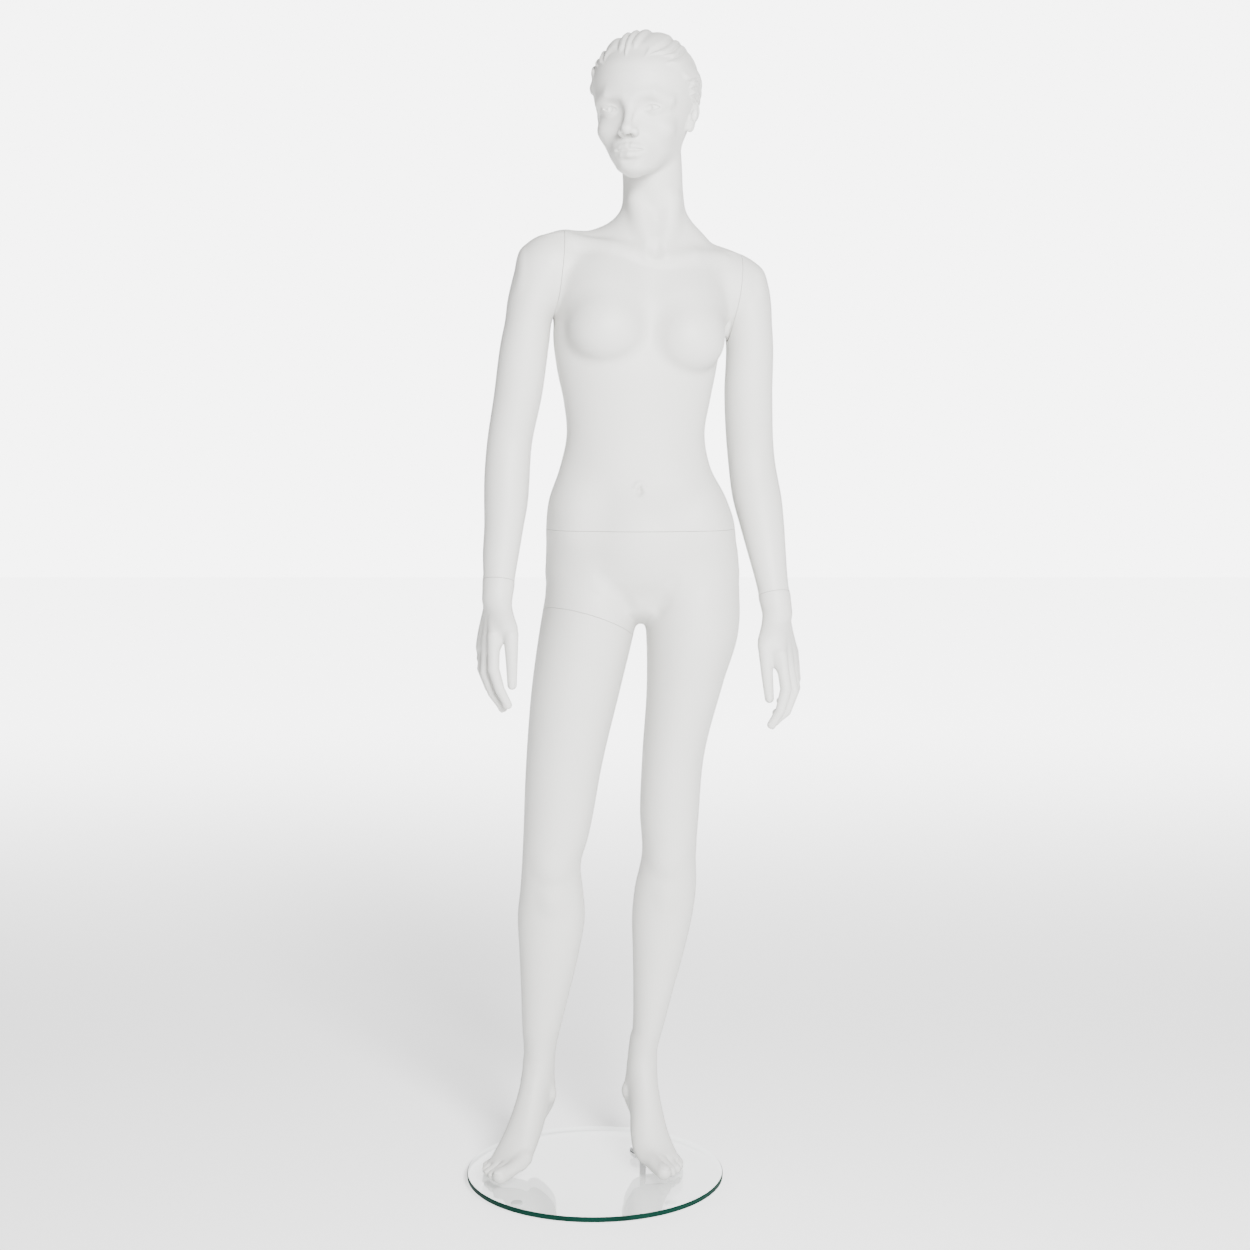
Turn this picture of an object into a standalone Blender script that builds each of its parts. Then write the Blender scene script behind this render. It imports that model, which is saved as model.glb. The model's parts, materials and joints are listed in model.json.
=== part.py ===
"""Full body mannequin: a hollow fibreglass figure that comes apart at its seams, on a glass base.

Metres, +Z up, the origin on the floor under the middle of the glass disc. The figure faces -Y.
Left and right are the figure's own, so its left side is at +X.
"""

import math

import bmesh
import bpy
from mathutils import Matrix, Vector

# ---------------------------------------------------------------- driving dimensions, in metres
GAP = 0.0003            # clearance between pieces that touch
WALL = 0.004            # fibreglass wall
SEAM = 0.0008           # width of the open seam line between two mouldings
BOARD_GAP = 0.0014      # bonding gap between a board and the wall round it

DISC_R = 0.200
DISC_T = 0.008
PAD_H = 0.004
PAD_R = 0.009
PAD_CIRCLE_R = 0.165
GLASS_TOP = PAD_H + DISC_T
DISC_CHAMFER = 0.001

SPIGOT = Vector((0.0755, 0.083, GLASS_TOP))     # axis of the foot spigot on the glass
ROD_R = 0.005
ROD_TOP = 0.215
SOLE_OVER_ROD = 0.0880  # where the rod enters the arch of the left foot
SOCKET_TOP = 0.221
SOCKET_MARGIN = 0.050
SOCKET_CAP_T = 0.004
THREAD_DEPTH = 0.014    # tapped hole in the rod's foot
BOLT_REACH = 0.012
FLANGE_R = 0.020
FLANGE_T = 0.005
GASKET_T = 0.001
GASKET_R = 0.021
GASKET_BORE_R = 0.007
BOLT_R = 0.003
BOLT_HOLE_R = 0.005
BOLT_HEAD_R = 0.0065
BOLT_HEAD_H = 0.0016
WASHER_R = 0.010
WASHER_T = 0.0009
SOCKET_R = 0.0075
LOCK_SCREW_R = 0.0025
LOCK_SCREW_Z = 0.112
HEEL_BACK_Y = 0.135
SCREW_SHY = 0.003       # the lock screw ends this far inside the heel
ANKLE_SOLID_Z = 0.232   # the shells are solid below this
PAST = 0.010            # how far a cutting tool runs past what it cuts
HOLLOW_PAST_SEAM = 0.020
NECK_EXTRA_WALL = 0.004
HEAD_EXTRA_WALL = 0.006

LIMB_SIDES = 14
TRUNK_SIDES = 20
DIGIT_SIDES = 7
ROUND_SIDES = 16
SMALL_SIDES = 12
TIP_BULGE = 0.6         # how far a digit's rounded tip runs past its last joint, in radii
TIP_BLUNTNESS = 0.7
DISC_SIDES = 64
OVERSIZE = 1.2          # edge of the blocks that cut along a seam plane
SHOULDER_REACH = 0.34   # edge of the blocks that trim only the trunk's top

# ---------------------------------------------------------------- seams: a point and the normal
# Each normal points from the fixed moulding to the one that comes off.
WAIST = (Vector((0.070, 0.033, 1.016)), Vector((0.0, 0.0, 1.0)))
THIGH = (Vector((-0.010, 0.030, 0.868)), -Vector((0.278, 0.250, 0.928)).normalized())
SHOULDERS = {
    "right": (Vector((-0.056, 0.030, 1.408)), -Vector((0.970, 0.200, -0.120)).normalized()),
    "left": (Vector((0.213, 0.085, 1.375)), Vector((0.965, 0.200, -0.150)).normalized()),
}
WRISTS = {
    "right": (Vector((-0.1434, -0.031, 0.9396)), Vector((-0.063, -0.291, -0.955)).normalized()),
    "left": (Vector((0.2766, 0.029, 0.9146)), Vector((0.150, -0.305, -0.940)).normalized()),
}

# ---------------------------------------------------------------- level sections of the figure
# Each row: x, y, z of the section's middle, half width, half depth, and yaw in degrees.
PELVIS = [
    (0.070, 0.036, 0.868, 0.018, 0.045, 0),
    (0.071, 0.038, 0.885, 0.090, 0.085, 0),
    (0.073, 0.040, 0.908, 0.147, 0.106, 0),
    (0.074, 0.038, 0.930, 0.152, 0.107, 0),
    (0.074, 0.036, 0.960, 0.1485, 0.104, 0),
    (0.0718, 0.034, 0.998, 0.146, 0.101, 0),
    (0.070, 0.033, 1.030, 0.142, 0.098, 0),
]
CHEST = [
    (0.0702, 0.033, 1.002, 0.1455, 0.100, 0),
    (0.0700, 0.033, 1.020, 0.144, 0.098, 0),
    (0.0662, 0.031, 1.058, 0.1354, 0.090, 2),
    (0.0627, 0.029, 1.100, 0.1187, 0.082, 4),
    (0.0632, 0.029, 1.160, 0.1061, 0.076, 7),
    (0.0650, 0.032, 1.210, 0.1125, 0.080, 9),
    (0.0650, 0.037, 1.260, 0.1228, 0.087, 11),
    (0.0672, 0.043, 1.320, 0.1310, 0.091, 12),
    (0.0760, 0.051, 1.370, 0.1330, 0.085, 12),
    (0.0820, 0.057, 1.415, 0.1200, 0.068, 12),
    (0.0870, 0.060, 1.450, 0.0850, 0.052, 10),
]
NECK = [
    (0.0890, 0.060, 1.430, 0.070, 0.048, 8),
    (0.0905, 0.057, 1.470, 0.062, 0.048, 4),
    (0.0905, 0.053, 1.495, 0.050, 0.049, 0),
    (0.0895, 0.047, 1.525, 0.0460, 0.048, -6),
    (0.0880, 0.040, 1.560, 0.0455, 0.048, -12),
    (0.0860, 0.034, 1.612, 0.044, 0.048, -18),
]
HEAD_YAW = -20
HEAD = [
    (0.0620, -0.036, 1.546, 0.015, 0.012, HEAD_YAW),
    (0.0650, -0.030, 1.556, 0.034, 0.034, HEAD_YAW),
    (0.0700, -0.015, 1.578, 0.048, 0.060, HEAD_YAW),
    (0.0760, 0.005, 1.605, 0.058, 0.082, HEAD_YAW),
    (0.0800, 0.016, 1.635, 0.066, 0.093, HEAD_YAW),
    (0.0830, 0.020, 1.665, 0.074, 0.098, HEAD_YAW),
    (0.0840, 0.022, 1.695, 0.077, 0.098, HEAD_YAW),
    (0.0830, 0.024, 1.722, 0.069, 0.088, HEAD_YAW),
    (0.0810, 0.025, 1.745, 0.050, 0.064, HEAD_YAW),
    (0.0800, 0.025, 1.7620, 0.018, 0.024, HEAD_YAW),
]
ARMS = {
    "right": [
        (-0.070, 0.020, 1.4560, 0.020, 0.020, 0),
        (-0.074, 0.020, 1.4400, 0.032, 0.032, 0),
        (-0.082, 0.020, 1.4000, 0.039, 0.042, 0),
        (-0.0905, 0.020, 1.3600, 0.0405, 0.046, 0),
        (-0.0960, 0.021, 1.3300, 0.0390, 0.045, 0),
        (-0.1045, 0.022, 1.3000, 0.0368, 0.043, 0),
        (-0.1159, 0.028, 1.2200, 0.0368, 0.041, 0),
        (-0.1302, 0.030, 1.1400, 0.0345, 0.037, 0),
        (-0.1342, 0.012, 1.0595, 0.0336, 0.037, 0),
        (-0.1369, -0.002, 1.0200, 0.0300, 0.034, 0),
        (-0.1432, -0.030, 0.9424, 0.0238, 0.027, 0),
        (-0.1464, -0.042, 0.9038, 0.0217, 0.024, 0),
    ],
    "left": [
        (0.216, 0.085, 1.4320, 0.020, 0.020, 0),
        (0.221, 0.085, 1.4150, 0.034, 0.034, 0),
        (0.229, 0.085, 1.3850, 0.0394, 0.043, 0),
        (0.232, 0.085, 1.3600, 0.0405, 0.046, 0),
        (0.2345, 0.084, 1.3300, 0.0395, 0.045, 0),
        (0.2393, 0.083, 1.3000, 0.0366, 0.043, 0),
        (0.2384, 0.088, 1.2200, 0.0373, 0.041, 0),
        (0.2442, 0.095, 1.1180, 0.0366, 0.038, 0),
        (0.2529, 0.078, 1.0568, 0.0379, 0.038, 0),
        (0.2597, 0.064, 1.0166, 0.0342, 0.035, 0),
        (0.2725, 0.036, 0.9372, 0.0253, 0.028, 0),
        (0.2823, 0.018, 0.8782, 0.0221, 0.024, 0),
    ],
}
LEGS = {
    "right": [
        (0.010, 0.036, 0.945, 0.060, 0.080, 0),
        (-0.002, 0.034, 0.905, 0.074, 0.096, 0),
        (-0.012, 0.030, 0.857, 0.0731, 0.087, 0),
        (-0.0271, 0.026, 0.777, 0.0691, 0.076, 0),
        (-0.0466, 0.022, 0.656, 0.0594, 0.063, 0),
        (-0.0607, 0.021, 0.536, 0.0504, 0.052, 0),
        (-0.0674, 0.024, 0.494, 0.0459, 0.050, 0),
        (-0.0677, 0.034, 0.452, 0.0490, 0.052, 0),
        (-0.0685, 0.043, 0.410, 0.0527, 0.054, 0),
        (-0.0723, 0.052, 0.347, 0.0472, 0.049, 0),
        (-0.0857, 0.067, 0.220, 0.0306, 0.035, 0),
        (-0.0905, 0.073, 0.160, 0.0240, 0.031, 0),
        (-0.0935, 0.068, 0.132, 0.0250, 0.034, 0),
    ],
    "left": [
        (0.138, 0.036, 0.945, 0.062, 0.080, 0),
        (0.149, 0.035, 0.905, 0.0745, 0.096, 0),
        (0.1505, 0.030, 0.857, 0.0712, 0.087, 0),
        (0.1395, 0.032, 0.776, 0.0590, 0.075, 0),
        (0.1215, 0.037, 0.660, 0.0480, 0.062, 0),
        (0.1163, 0.041, 0.573, 0.0460, 0.054, 0),
        (0.1157, 0.045, 0.505, 0.0425, 0.050, 0),
        (0.1105, 0.056, 0.449, 0.0482, 0.053, 0),
        (0.1060, 0.064, 0.406, 0.0478, 0.053, 0),
        (0.1000, 0.071, 0.344, 0.0408, 0.047, 0),
        (0.0843, 0.082, 0.220, 0.0250, 0.034, 0),
        (0.0742, 0.088, 0.155, 0.0225, 0.031, 0),
        (0.0755, 0.080, 0.132, 0.0240, 0.034, 0),
    ],
}

# The yoke runs across the shoulders: x, y, z, half depth, half height of upright sections.
YOKE = [
    (-0.100, 0.019, 1.398, 0.026, 0.030),
    (-0.056, 0.028, 1.408, 0.047, 0.055),
    (0.000, 0.044, 1.424, 0.048, 0.055),
    (0.085, 0.060, 1.430, 0.050, 0.056),
    (0.160, 0.077, 1.408, 0.050, 0.053),
    (0.213, 0.085, 1.382, 0.047, 0.053),
    (0.245, 0.087, 1.366, 0.028, 0.033),
]

# Feet, on tiptoe: x, y, z along the instep, half width, half thickness.
INSTEPS = {
    "right": [
        (-0.0905, 0.074, 0.170, 0.023, 0.029),
        (-0.0940, 0.062, 0.130, 0.026, 0.033),
        (-0.1040, 0.034, 0.090, 0.028, 0.031),
        (-0.1170, 0.004, 0.056, 0.032, 0.026),
        (-0.1270, -0.020, 0.034, 0.035, 0.019),
        (-0.1370, -0.038, 0.025, 0.031, 0.012),
    ],
    "left": [
        (0.0742, 0.089, 0.170, 0.0215, 0.029),
        (0.0755, 0.077, 0.130, 0.025, 0.033),
        (0.0800, 0.052, 0.090, 0.028, 0.031),
        (0.0860, 0.028, 0.056, 0.032, 0.026),
        (0.0940, 0.006, 0.034, 0.035, 0.019),
        (0.1050, -0.012, 0.025, 0.031, 0.012),
    ],
}
HEELS = {
    "right": [
        (-0.0880, 0.075, 0.200, 0.020, 0.028, 0),
        (-0.0880, 0.080, 0.150, 0.0225, 0.033, 0),
        (-0.0870, 0.085, 0.120, 0.0245, 0.036, 0),
        (-0.0865, 0.089, 0.100, 0.0245, 0.034, 0),
        (-0.0860, 0.093, 0.083, 0.0200, 0.026, 0),
        (-0.0860, 0.095, 0.075, 0.0120, 0.016, 0),
    ],
    "left": [
        (0.0775, 0.088, 0.200, 0.020, 0.028, 0),
        (0.0725, 0.093, 0.150, 0.0220, 0.033, 0),
        (0.0685, 0.097, 0.125, 0.0245, 0.036, 0),
        (0.0670, 0.101, 0.105, 0.0245, 0.034, 0),
        (0.0665, 0.105, 0.088, 0.0200, 0.026, 0),
        (0.0665, 0.107, 0.080, 0.0120, 0.016, 0),
    ],
}
TOE_TAPER = 1.1             # root radius over tip radius
# Toes, big toe first: root, tip and radius.
TOES = {
    "right": [
        ((-0.106, -0.033, 0.029), (-0.144, -0.060, 0.0235), 0.0115),
        ((-0.121, -0.024, 0.030), (-0.157, -0.051, 0.0215), 0.0075),
        ((-0.133, -0.017, 0.030), (-0.163, -0.037, 0.0215), 0.0075),
        ((-0.143, -0.010, 0.028), (-0.167, -0.022, 0.0215), 0.0075),
        ((-0.152, -0.003, 0.026), (-0.167, -0.005, 0.0215), 0.0075),
    ],
    "left": [
        ((0.073, -0.005, 0.029), (0.106, -0.045, 0.0235), 0.0115),
        ((0.089, 0.003, 0.030), (0.119, -0.034, 0.0215), 0.0075),
        ((0.101, 0.009, 0.030), (0.127, -0.021, 0.0215), 0.0075),
        ((0.110, 0.015, 0.028), (0.131, -0.006, 0.0215), 0.0075),
        ((0.119, 0.020, 0.026), (0.132, 0.010, 0.0215), 0.0075),
    ],
}

# Hands: the palm runs from the wrist to the knuckles, x, y, z, half width, half thickness,
# and its width lies along PALM_ACROSS, from the index finger to the little finger.
PALM_ACROSS = {
    "right": Vector((-0.45, 0.89, 0.0)).normalized(),
    "left": Vector((0.42, 0.91, 0.0)).normalized(),
}
PALMS = {
    "right": [
        (-0.1434, -0.031, 0.9396, 0.0265, 0.0235),
        (-0.1464, -0.041, 0.9060, 0.0255, 0.0205),
        (-0.1500, -0.046, 0.8780, 0.0360, 0.0175),
        (-0.1570, -0.049, 0.8480, 0.0390, 0.0125),
        (-0.1600, -0.050, 0.8400, 0.0360, 0.0095),
    ],
    "left": [
        (0.2766, 0.029, 0.9146, 0.0270, 0.0240),
        (0.2823, 0.018, 0.8790, 0.0255, 0.0210),
        (0.2860, 0.011, 0.8480, 0.0360, 0.0180),
        (0.2930, 0.005, 0.8120, 0.0390, 0.0125),
        (0.2950, 0.004, 0.8040, 0.0360, 0.0095),
    ],
}
# Digits: the joints from root to tip, then the radius at the root and at the tip.
DIGITS = {
    "right": [
        ([(-0.141, -0.050, 0.897), (-0.123, -0.082, 0.862), (-0.1215, -0.090, 0.824),
          (-0.1215, -0.092, 0.790)], 0.0125, 0.0078),
        ([(-0.149, -0.078, 0.862), (-0.1490, -0.083, 0.812), (-0.1400, -0.085, 0.782),
          (-0.1280, -0.083, 0.758)], 0.0092, 0.0066),
        ([(-0.157, -0.058, 0.858), (-0.1620, -0.063, 0.804), (-0.1520, -0.066, 0.774),
          (-0.1360, -0.066, 0.751)], 0.0092, 0.0066),
        ([(-0.163, -0.038, 0.858), (-0.1680, -0.043, 0.808), (-0.1580, -0.046, 0.780),
          (-0.1430, -0.047, 0.757)], 0.0088, 0.0062),
        ([(-0.167, -0.019, 0.860), (-0.1710, -0.023, 0.821), (-0.1640, -0.026, 0.800),
          (-0.1520, -0.028, 0.782)], 0.0080, 0.0056),
    ],
    "left": [
        ([(0.276, 0.010, 0.868), (0.2640, -0.018, 0.838), (0.2640, -0.024, 0.796),
          (0.2660, -0.026, 0.766)], 0.0125, 0.0078),
        ([(0.284, -0.024, 0.828), (0.2910, -0.034, 0.775), (0.2820, -0.038, 0.742),
          (0.2690, -0.036, 0.721)], 0.0092, 0.0066),
        ([(0.293, -0.004, 0.824), (0.3040, -0.013, 0.770), (0.2930, -0.018, 0.739),
          (0.2760, -0.018, 0.724)], 0.0092, 0.0066),
        ([(0.301, 0.015, 0.824), (0.3080, 0.008, 0.772), (0.2960, 0.003, 0.744),
          (0.2790, 0.001, 0.734)], 0.0088, 0.0062),
        ([(0.307, 0.033, 0.826), (0.3110, 0.028, 0.783), (0.3000, 0.023, 0.760),
          (0.2860, 0.020, 0.750)], 0.0080, 0.0056),
    ],
}

BREASTS = [
    (Vector((0.022, -0.024, 1.304)), Vector((0.054, 0.056, 0.058))),
    (Vector((0.139, 0.000, 1.297)), Vector((0.052, 0.056, 0.058))),
]
BUTTOCKS = [
    (Vector((0.005, 0.090, 0.905)), Vector((0.070, 0.056, 0.066))),
    (Vector((0.140, 0.090, 0.910)), Vector((0.070, 0.056, 0.066))),
]
NOSE = (Vector((0.0555, -0.0715, 1.609)), Vector((0.010, 0.013, 0.016)))
EARS = [
    (Vector((0.0120, 0.005, 1.640)), Vector((0.008, 0.017, 0.028))),
    (Vector((0.1500, 0.043, 1.640)), Vector((0.008, 0.017, 0.028))),
]

# ---------------------------------------------------------------- bayonet fittings
PLATE_SET_BACK = 0.0015     # from a seam plane to the face of its bulkhead
PLATE_T = 0.006
TRUNK_BOARD_SPREAD = 0.400  # blanks that the boards are trimmed from
LIMB_BOARD_SPREAD = 0.118
KEY_CLEARANCE = 0.0012      # round a stud's head as it passes through the keyhole
SLOT_CLEARANCE = 0.0008
SCREW_HEAD_R = 0.003
SCREW_HEAD_T = 0.0018
SCREW_REACH = 0.0060        # from the plate's far face into the board
PILOT_SKIN = 0.001          # the pilot holes stop short of the board's face
THREAD_PAST_NUT = 0.002
SHANK_EASE = 0.0001
LARGE_FITTING = {
    "hole_r": 0.015, "key_r": 0.025, "key_t": 0.002, "shank_r": 0.004, "head_half": 0.0095,
    "head_t": 0.004, "nut_r": 0.008, "nut_t": 0.005, "screw_at": 0.020, "screw_r": 0.0016,
}
SMALL_FITTING = {
    "hole_r": 0.0085, "key_r": 0.0135, "key_t": 0.0015, "shank_r": 0.0025, "head_half": 0.0055,
    "head_t": 0.0025, "anchor": 0.020,
}

# ---------------------------------------------------------------- colours and finishes
FINISHES = {
    "fibreglass": ((0.82, 0.83, 0.80), 0.55, 0.0),
    "glass": ((0.55, 0.68, 0.62), 0.05, 0.0),
    "steel": ((0.60, 0.61, 0.62), 0.30, 1.0),
    "silicone": ((0.75, 0.76, 0.76), 0.60, 0.0),
    "board": ((0.62, 0.52, 0.38), 0.80, 0.0),
    "nylon": ((0.20, 0.20, 0.21), 0.55, 0.0),
}


# ---------------------------------------------------------------- building blocks
def clear_scene():
    for old in list(bpy.data.objects):
        bpy.data.objects.remove(old, do_unlink=True)


def finish_material(name):
    """The material of one kind of stuff, made the first time that it is asked for."""
    if name in bpy.data.materials:
        return bpy.data.materials[name]
    colour, roughness, metallic = FINISHES[name]
    material = bpy.data.materials.new(name)
    material.use_nodes = True
    shader = material.node_tree.nodes["Principled BSDF"]
    shader.inputs["Base Color"].default_value = (*colour, 1.0)
    shader.inputs["Roughness"].default_value = roughness
    shader.inputs["Metallic"].default_value = metallic
    material.diffuse_color = (*colour, 1.0)
    return material


def mesh_object(name, bm):
    """Turn an edit mesh into an object with its faces pointing out."""
    bmesh.ops.recalc_face_normals(bm, faces=bm.faces)
    if bm.calc_volume(signed=True) < 0:
        bmesh.ops.reverse_faces(bm, faces=bm.faces)
    mesh = bpy.data.meshes.new(name)
    bm.to_mesh(mesh)
    bm.free()
    made = bpy.data.objects.new(name, mesh)
    bpy.context.scene.collection.objects.link(made)
    return made


def loft(rings, name="loft"):
    """A closed skin through rings of points, with a flat cap on each end."""
    bm = bmesh.new()
    loops = [[bm.verts.new(p) for p in ring] for ring in rings]
    sides = len(loops[0])
    for low, high in zip(loops, loops[1:]):
        for i in range(sides):
            j = (i + 1) % sides
            bm.faces.new((low[i], low[j], high[j], high[i]))
    bm.faces.new(loops[0])
    bm.faces.new(list(reversed(loops[-1])))
    return mesh_object(name, bm)


def oval(centre, across, along, half_across, half_along, sides):
    """Points of an oval ring in the plane of two unit vectors."""
    ring = []
    for i in range(sides):
        turn = 2 * math.pi * (i + 0.5) / sides
        ring.append(centre + across * (half_across * math.cos(turn))
                    + along * (half_along * math.sin(turn)))
    return ring


def level_loft(stations, inset, sides):
    """A loft through level oval sections, drawn in by the inset on its sides and its ends."""
    rings = []
    drawn_in = math.copysign(inset, stations[-1][2] - stations[0][2])
    for i, (x, y, z, half_x, half_y, yaw) in enumerate(stations):
        if i == 0:
            z += drawn_in
        elif i == len(stations) - 1:
            z -= drawn_in
        turn = Matrix.Rotation(math.radians(yaw), 3, "Z")
        across = turn @ Vector((1, 0, 0))
        along = turn @ Vector((0, 1, 0))
        rings.append(oval(Vector((x, y, z)), across, along, half_x - inset, half_y - inset, sides))
    return loft(rings)


def yoke_loft(inset):
    rings = []
    for x, y, z, half_y, half_z in YOKE:
        rings.append(oval(Vector((x, y, z)), Vector((0, 1, 0)), Vector((0, 0, 1)),
                          half_y - inset, half_z - inset, LIMB_SIDES))
    return loft(rings)


def path_loft(stations, across=None, sides=LIMB_SIDES):
    """A loft whose sections stand square to its path; their width stays level or along across."""
    points = [Vector(s[:3]) for s in stations]
    rings = []
    for i, station in enumerate(stations):
        ahead = points[min(i + 1, len(points) - 1)] - points[max(i - 1, 0)]
        ahead.normalize()
        side = across if across else ahead.cross(Vector((0, 0, 1)))
        side = (side - ahead * side.dot(ahead)).normalized()
        rings.append(oval(points[i], side, ahead.cross(side), station[3], station[4], sides))
    return loft(rings)


def digit(joints, root_r, tip_r):
    """A finger or toe: round sections through its joints, with a blunt rounded tip."""
    points = [Vector(p) for p in joints]
    last = len(points) - 1
    stations = []
    for i, p in enumerate(points):
        radius = root_r + (tip_r - root_r) * i / last
        stations.append((*p, radius, radius))
    end = (points[-1] - points[-2]).normalized()
    bulge = points[-1] + end * (tip_r * TIP_BULGE)
    stations.append((*bulge, tip_r * TIP_BLUNTNESS, tip_r * TIP_BLUNTNESS))
    return path_loft(stations, across=digit_across(points), sides=DIGIT_SIDES)


def digit_across(points):
    """A steady sideways direction for a digit, square to the plane that it bends in."""
    bend = (points[1] - points[0]).cross(points[-1] - points[-2])
    if bend.length < 1e-6:
        bend = (points[1] - points[0]).cross(Vector((0, 0, 1)))
    return bend.normalized()


def ball(centre, radii, rows=8, sides=14):
    bm = bmesh.new()
    bmesh.ops.create_uvsphere(bm, u_segments=sides, v_segments=rows, radius=1.0)
    bmesh.ops.scale(bm, vec=radii, verts=bm.verts)
    bmesh.ops.translate(bm, vec=centre, verts=bm.verts)
    return mesh_object("ball", bm)


def facing(direction, at=Vector((0, 0, 0)), spin=0.0):
    """The placement whose Z runs along the direction."""
    turn = direction.to_track_quat("Z", "Y").to_matrix().to_4x4()
    return Matrix.Translation(at) @ turn @ Matrix.Rotation(math.radians(spin), 4, "Z")


def round_bar(radius, low, high, placed=Matrix.Identity(4), sides=ROUND_SIDES):
    """A round bar along the placement's Z, from low to high."""
    bm = bmesh.new()
    bmesh.ops.create_cone(bm, cap_ends=True, segments=sides, radius1=radius, radius2=radius,
                          depth=high - low)
    bmesh.ops.translate(bm, vec=(0, 0, (low + high) / 2), verts=bm.verts)
    bm.transform(placed)
    return mesh_object("bar", bm)


def block(size, centre, placed=Matrix.Identity(4)):
    bm = bmesh.new()
    bmesh.ops.create_cube(bm, size=1.0)
    bmesh.ops.scale(bm, vec=size, verts=bm.verts)
    bmesh.ops.translate(bm, vec=centre, verts=bm.verts)
    bm.transform(placed)
    return mesh_object("block", bm)


def beyond(seam, offset=0.0, reach=OVERSIZE):
    """A block that fills the space past a seam plane, on the side that its normal points to."""
    point, normal = seam
    return block((reach, reach, reach), (0, 0, offset + reach / 2), facing(normal, point))


def everything_below(z):
    return beyond((Vector((0, 0, z)), Vector((0, 0, -1))))


def boolean(base, tools, operation):
    """Join, cut or intersect, and leave only the result's object."""
    for tool in tools:
        step = base.modifiers.new("step", "BOOLEAN")
        step.operation = operation
        step.object = tool
        step.solver = "EXACT"
    bpy.context.view_layer.update()
    graph = bpy.context.evaluated_depsgraph_get()
    result = bpy.data.meshes.new_from_object(base.evaluated_get(graph))
    base.modifiers.clear()
    base.data = result
    for tool in tools:
        bpy.data.objects.remove(tool, do_unlink=True)
    return base


def join(base, *tools):
    return boolean(base, tools, "UNION")


def cut(base, *tools):
    return boolean(base, tools, "DIFFERENCE")


def keep_inside(base, *tools):
    return boolean(base, tools, "INTERSECT")


def piece(name, made, finish, pivot=None, smooth_angle=35):
    """Name a finished solid, give it its material, and put its origin on its joint."""
    made.name = name
    made.data.name = name
    made.data.materials.clear()
    made.data.materials.append(finish_material(finish))
    made.data.shade_smooth()
    made.data.set_sharp_from_angle(angle=math.radians(smooth_angle))
    if pivot is not None:
        made.data.transform(Matrix.Translation(-pivot))
        made.location = pivot
    return made


# ---------------------------------------------------------------- the base
def glass_disc():
    bm = bmesh.new()
    bmesh.ops.create_cone(bm, cap_ends=True, segments=DISC_SIDES, radius1=DISC_R, radius2=DISC_R,
                          depth=DISC_T)
    rims = [e for e in bm.edges if abs(e.verts[0].co.z - e.verts[1].co.z) < DISC_T / 2]
    bmesh.ops.bevel(bm, geom=rims, offset=DISC_CHAMFER, segments=1, affect="EDGES")
    bmesh.ops.translate(bm, vec=(0, 0, PAD_H + DISC_T / 2), verts=bm.verts)
    disc = mesh_object("disc", bm)
    hole = round_bar(BOLT_HOLE_R, -DISC_T * 2, DISC_T, Matrix.Translation(SPIGOT))
    piece("glass_disc", cut(disc, hole), "glass")


def base_pads():
    for i in range(4):
        turn = math.radians(45 + 90 * i)
        at = Vector((PAD_CIRCLE_R * math.cos(turn), PAD_CIRCLE_R * math.sin(turn), 0))
        pad = round_bar(PAD_R, 0, PAD_H - GAP, Matrix.Translation(at))
        piece(f"base_pad_{i + 1}", pad, "silicone")


def ring_on_spigot(name, outer_r, inner_r, low, high, finish):
    placed = Matrix.Translation(SPIGOT)
    ring = cut(round_bar(outer_r, low, high, placed),
               round_bar(inner_r, low - PAST, high + PAST, placed))
    piece(name, ring, finish)


def foot_spigot():
    """The rod on its flange, bolted through the glass from below."""
    placed = Matrix.Translation(SPIGOT)
    gasket_top = GAP + GASKET_T
    flange_low = gasket_top + GAP
    flange_top = flange_low + FLANGE_T
    ring_on_spigot("flange_gasket", GASKET_R, GASKET_BORE_R, GAP, gasket_top, "nylon")
    ring_on_spigot("spigot_flange", FLANGE_R, ROD_R + GAP, flange_low, flange_top, "steel")
    rod = round_bar(ROD_R, flange_low, ROD_TOP - GLASS_TOP, placed)
    tapped = round_bar(BOLT_R + GAP, flange_low - PAST, flange_low + THREAD_DEPTH, placed)
    piece("spigot_rod", cut(rod, tapped), "steel")
    under = -DISC_T - GAP
    ring_on_spigot("spigot_washer", WASHER_R, BOLT_R + GAP, under - WASHER_T, under, "steel")
    head_top = under - WASHER_T - GAP
    bolt = join(round_bar(BOLT_HEAD_R, head_top - BOLT_HEAD_H, head_top, placed, 6),
                round_bar(BOLT_R, head_top - BOLT_HEAD_H / 2, flange_low + BOLT_REACH, placed))
    piece("spigot_bolt", bolt, "steel")


def heel_socket():
    """The steel tube moulded in the left foot, and the screw that clamps the rod in it."""
    placed = Matrix.Translation(Vector((SPIGOT.x, SPIGOT.y, 0)))
    screw_line = facing(Vector((0, 1, 0)), Vector((SPIGOT.x, SPIGOT.y, LOCK_SCREW_Z)))
    tube = cut(round_bar(SOCKET_R, SOLE_OVER_ROD, SOCKET_TOP, placed),
               round_bar(ROD_R + GAP, SOLE_OVER_ROD - PAST, SOCKET_TOP - SOCKET_CAP_T, placed),
               round_bar(LOCK_SCREW_R + GAP, 0.0, SOCKET_R + PAST, screw_line, SMALL_SIDES))
    piece("foot_socket_tube", tube, "steel")
    screw = round_bar(LOCK_SCREW_R, ROD_R + GAP, HEEL_BACK_Y - SPIGOT.y - SCREW_SHY, screw_line,
                      SMALL_SIDES)
    piece("foot_lock_screw", screw, "steel")


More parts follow.
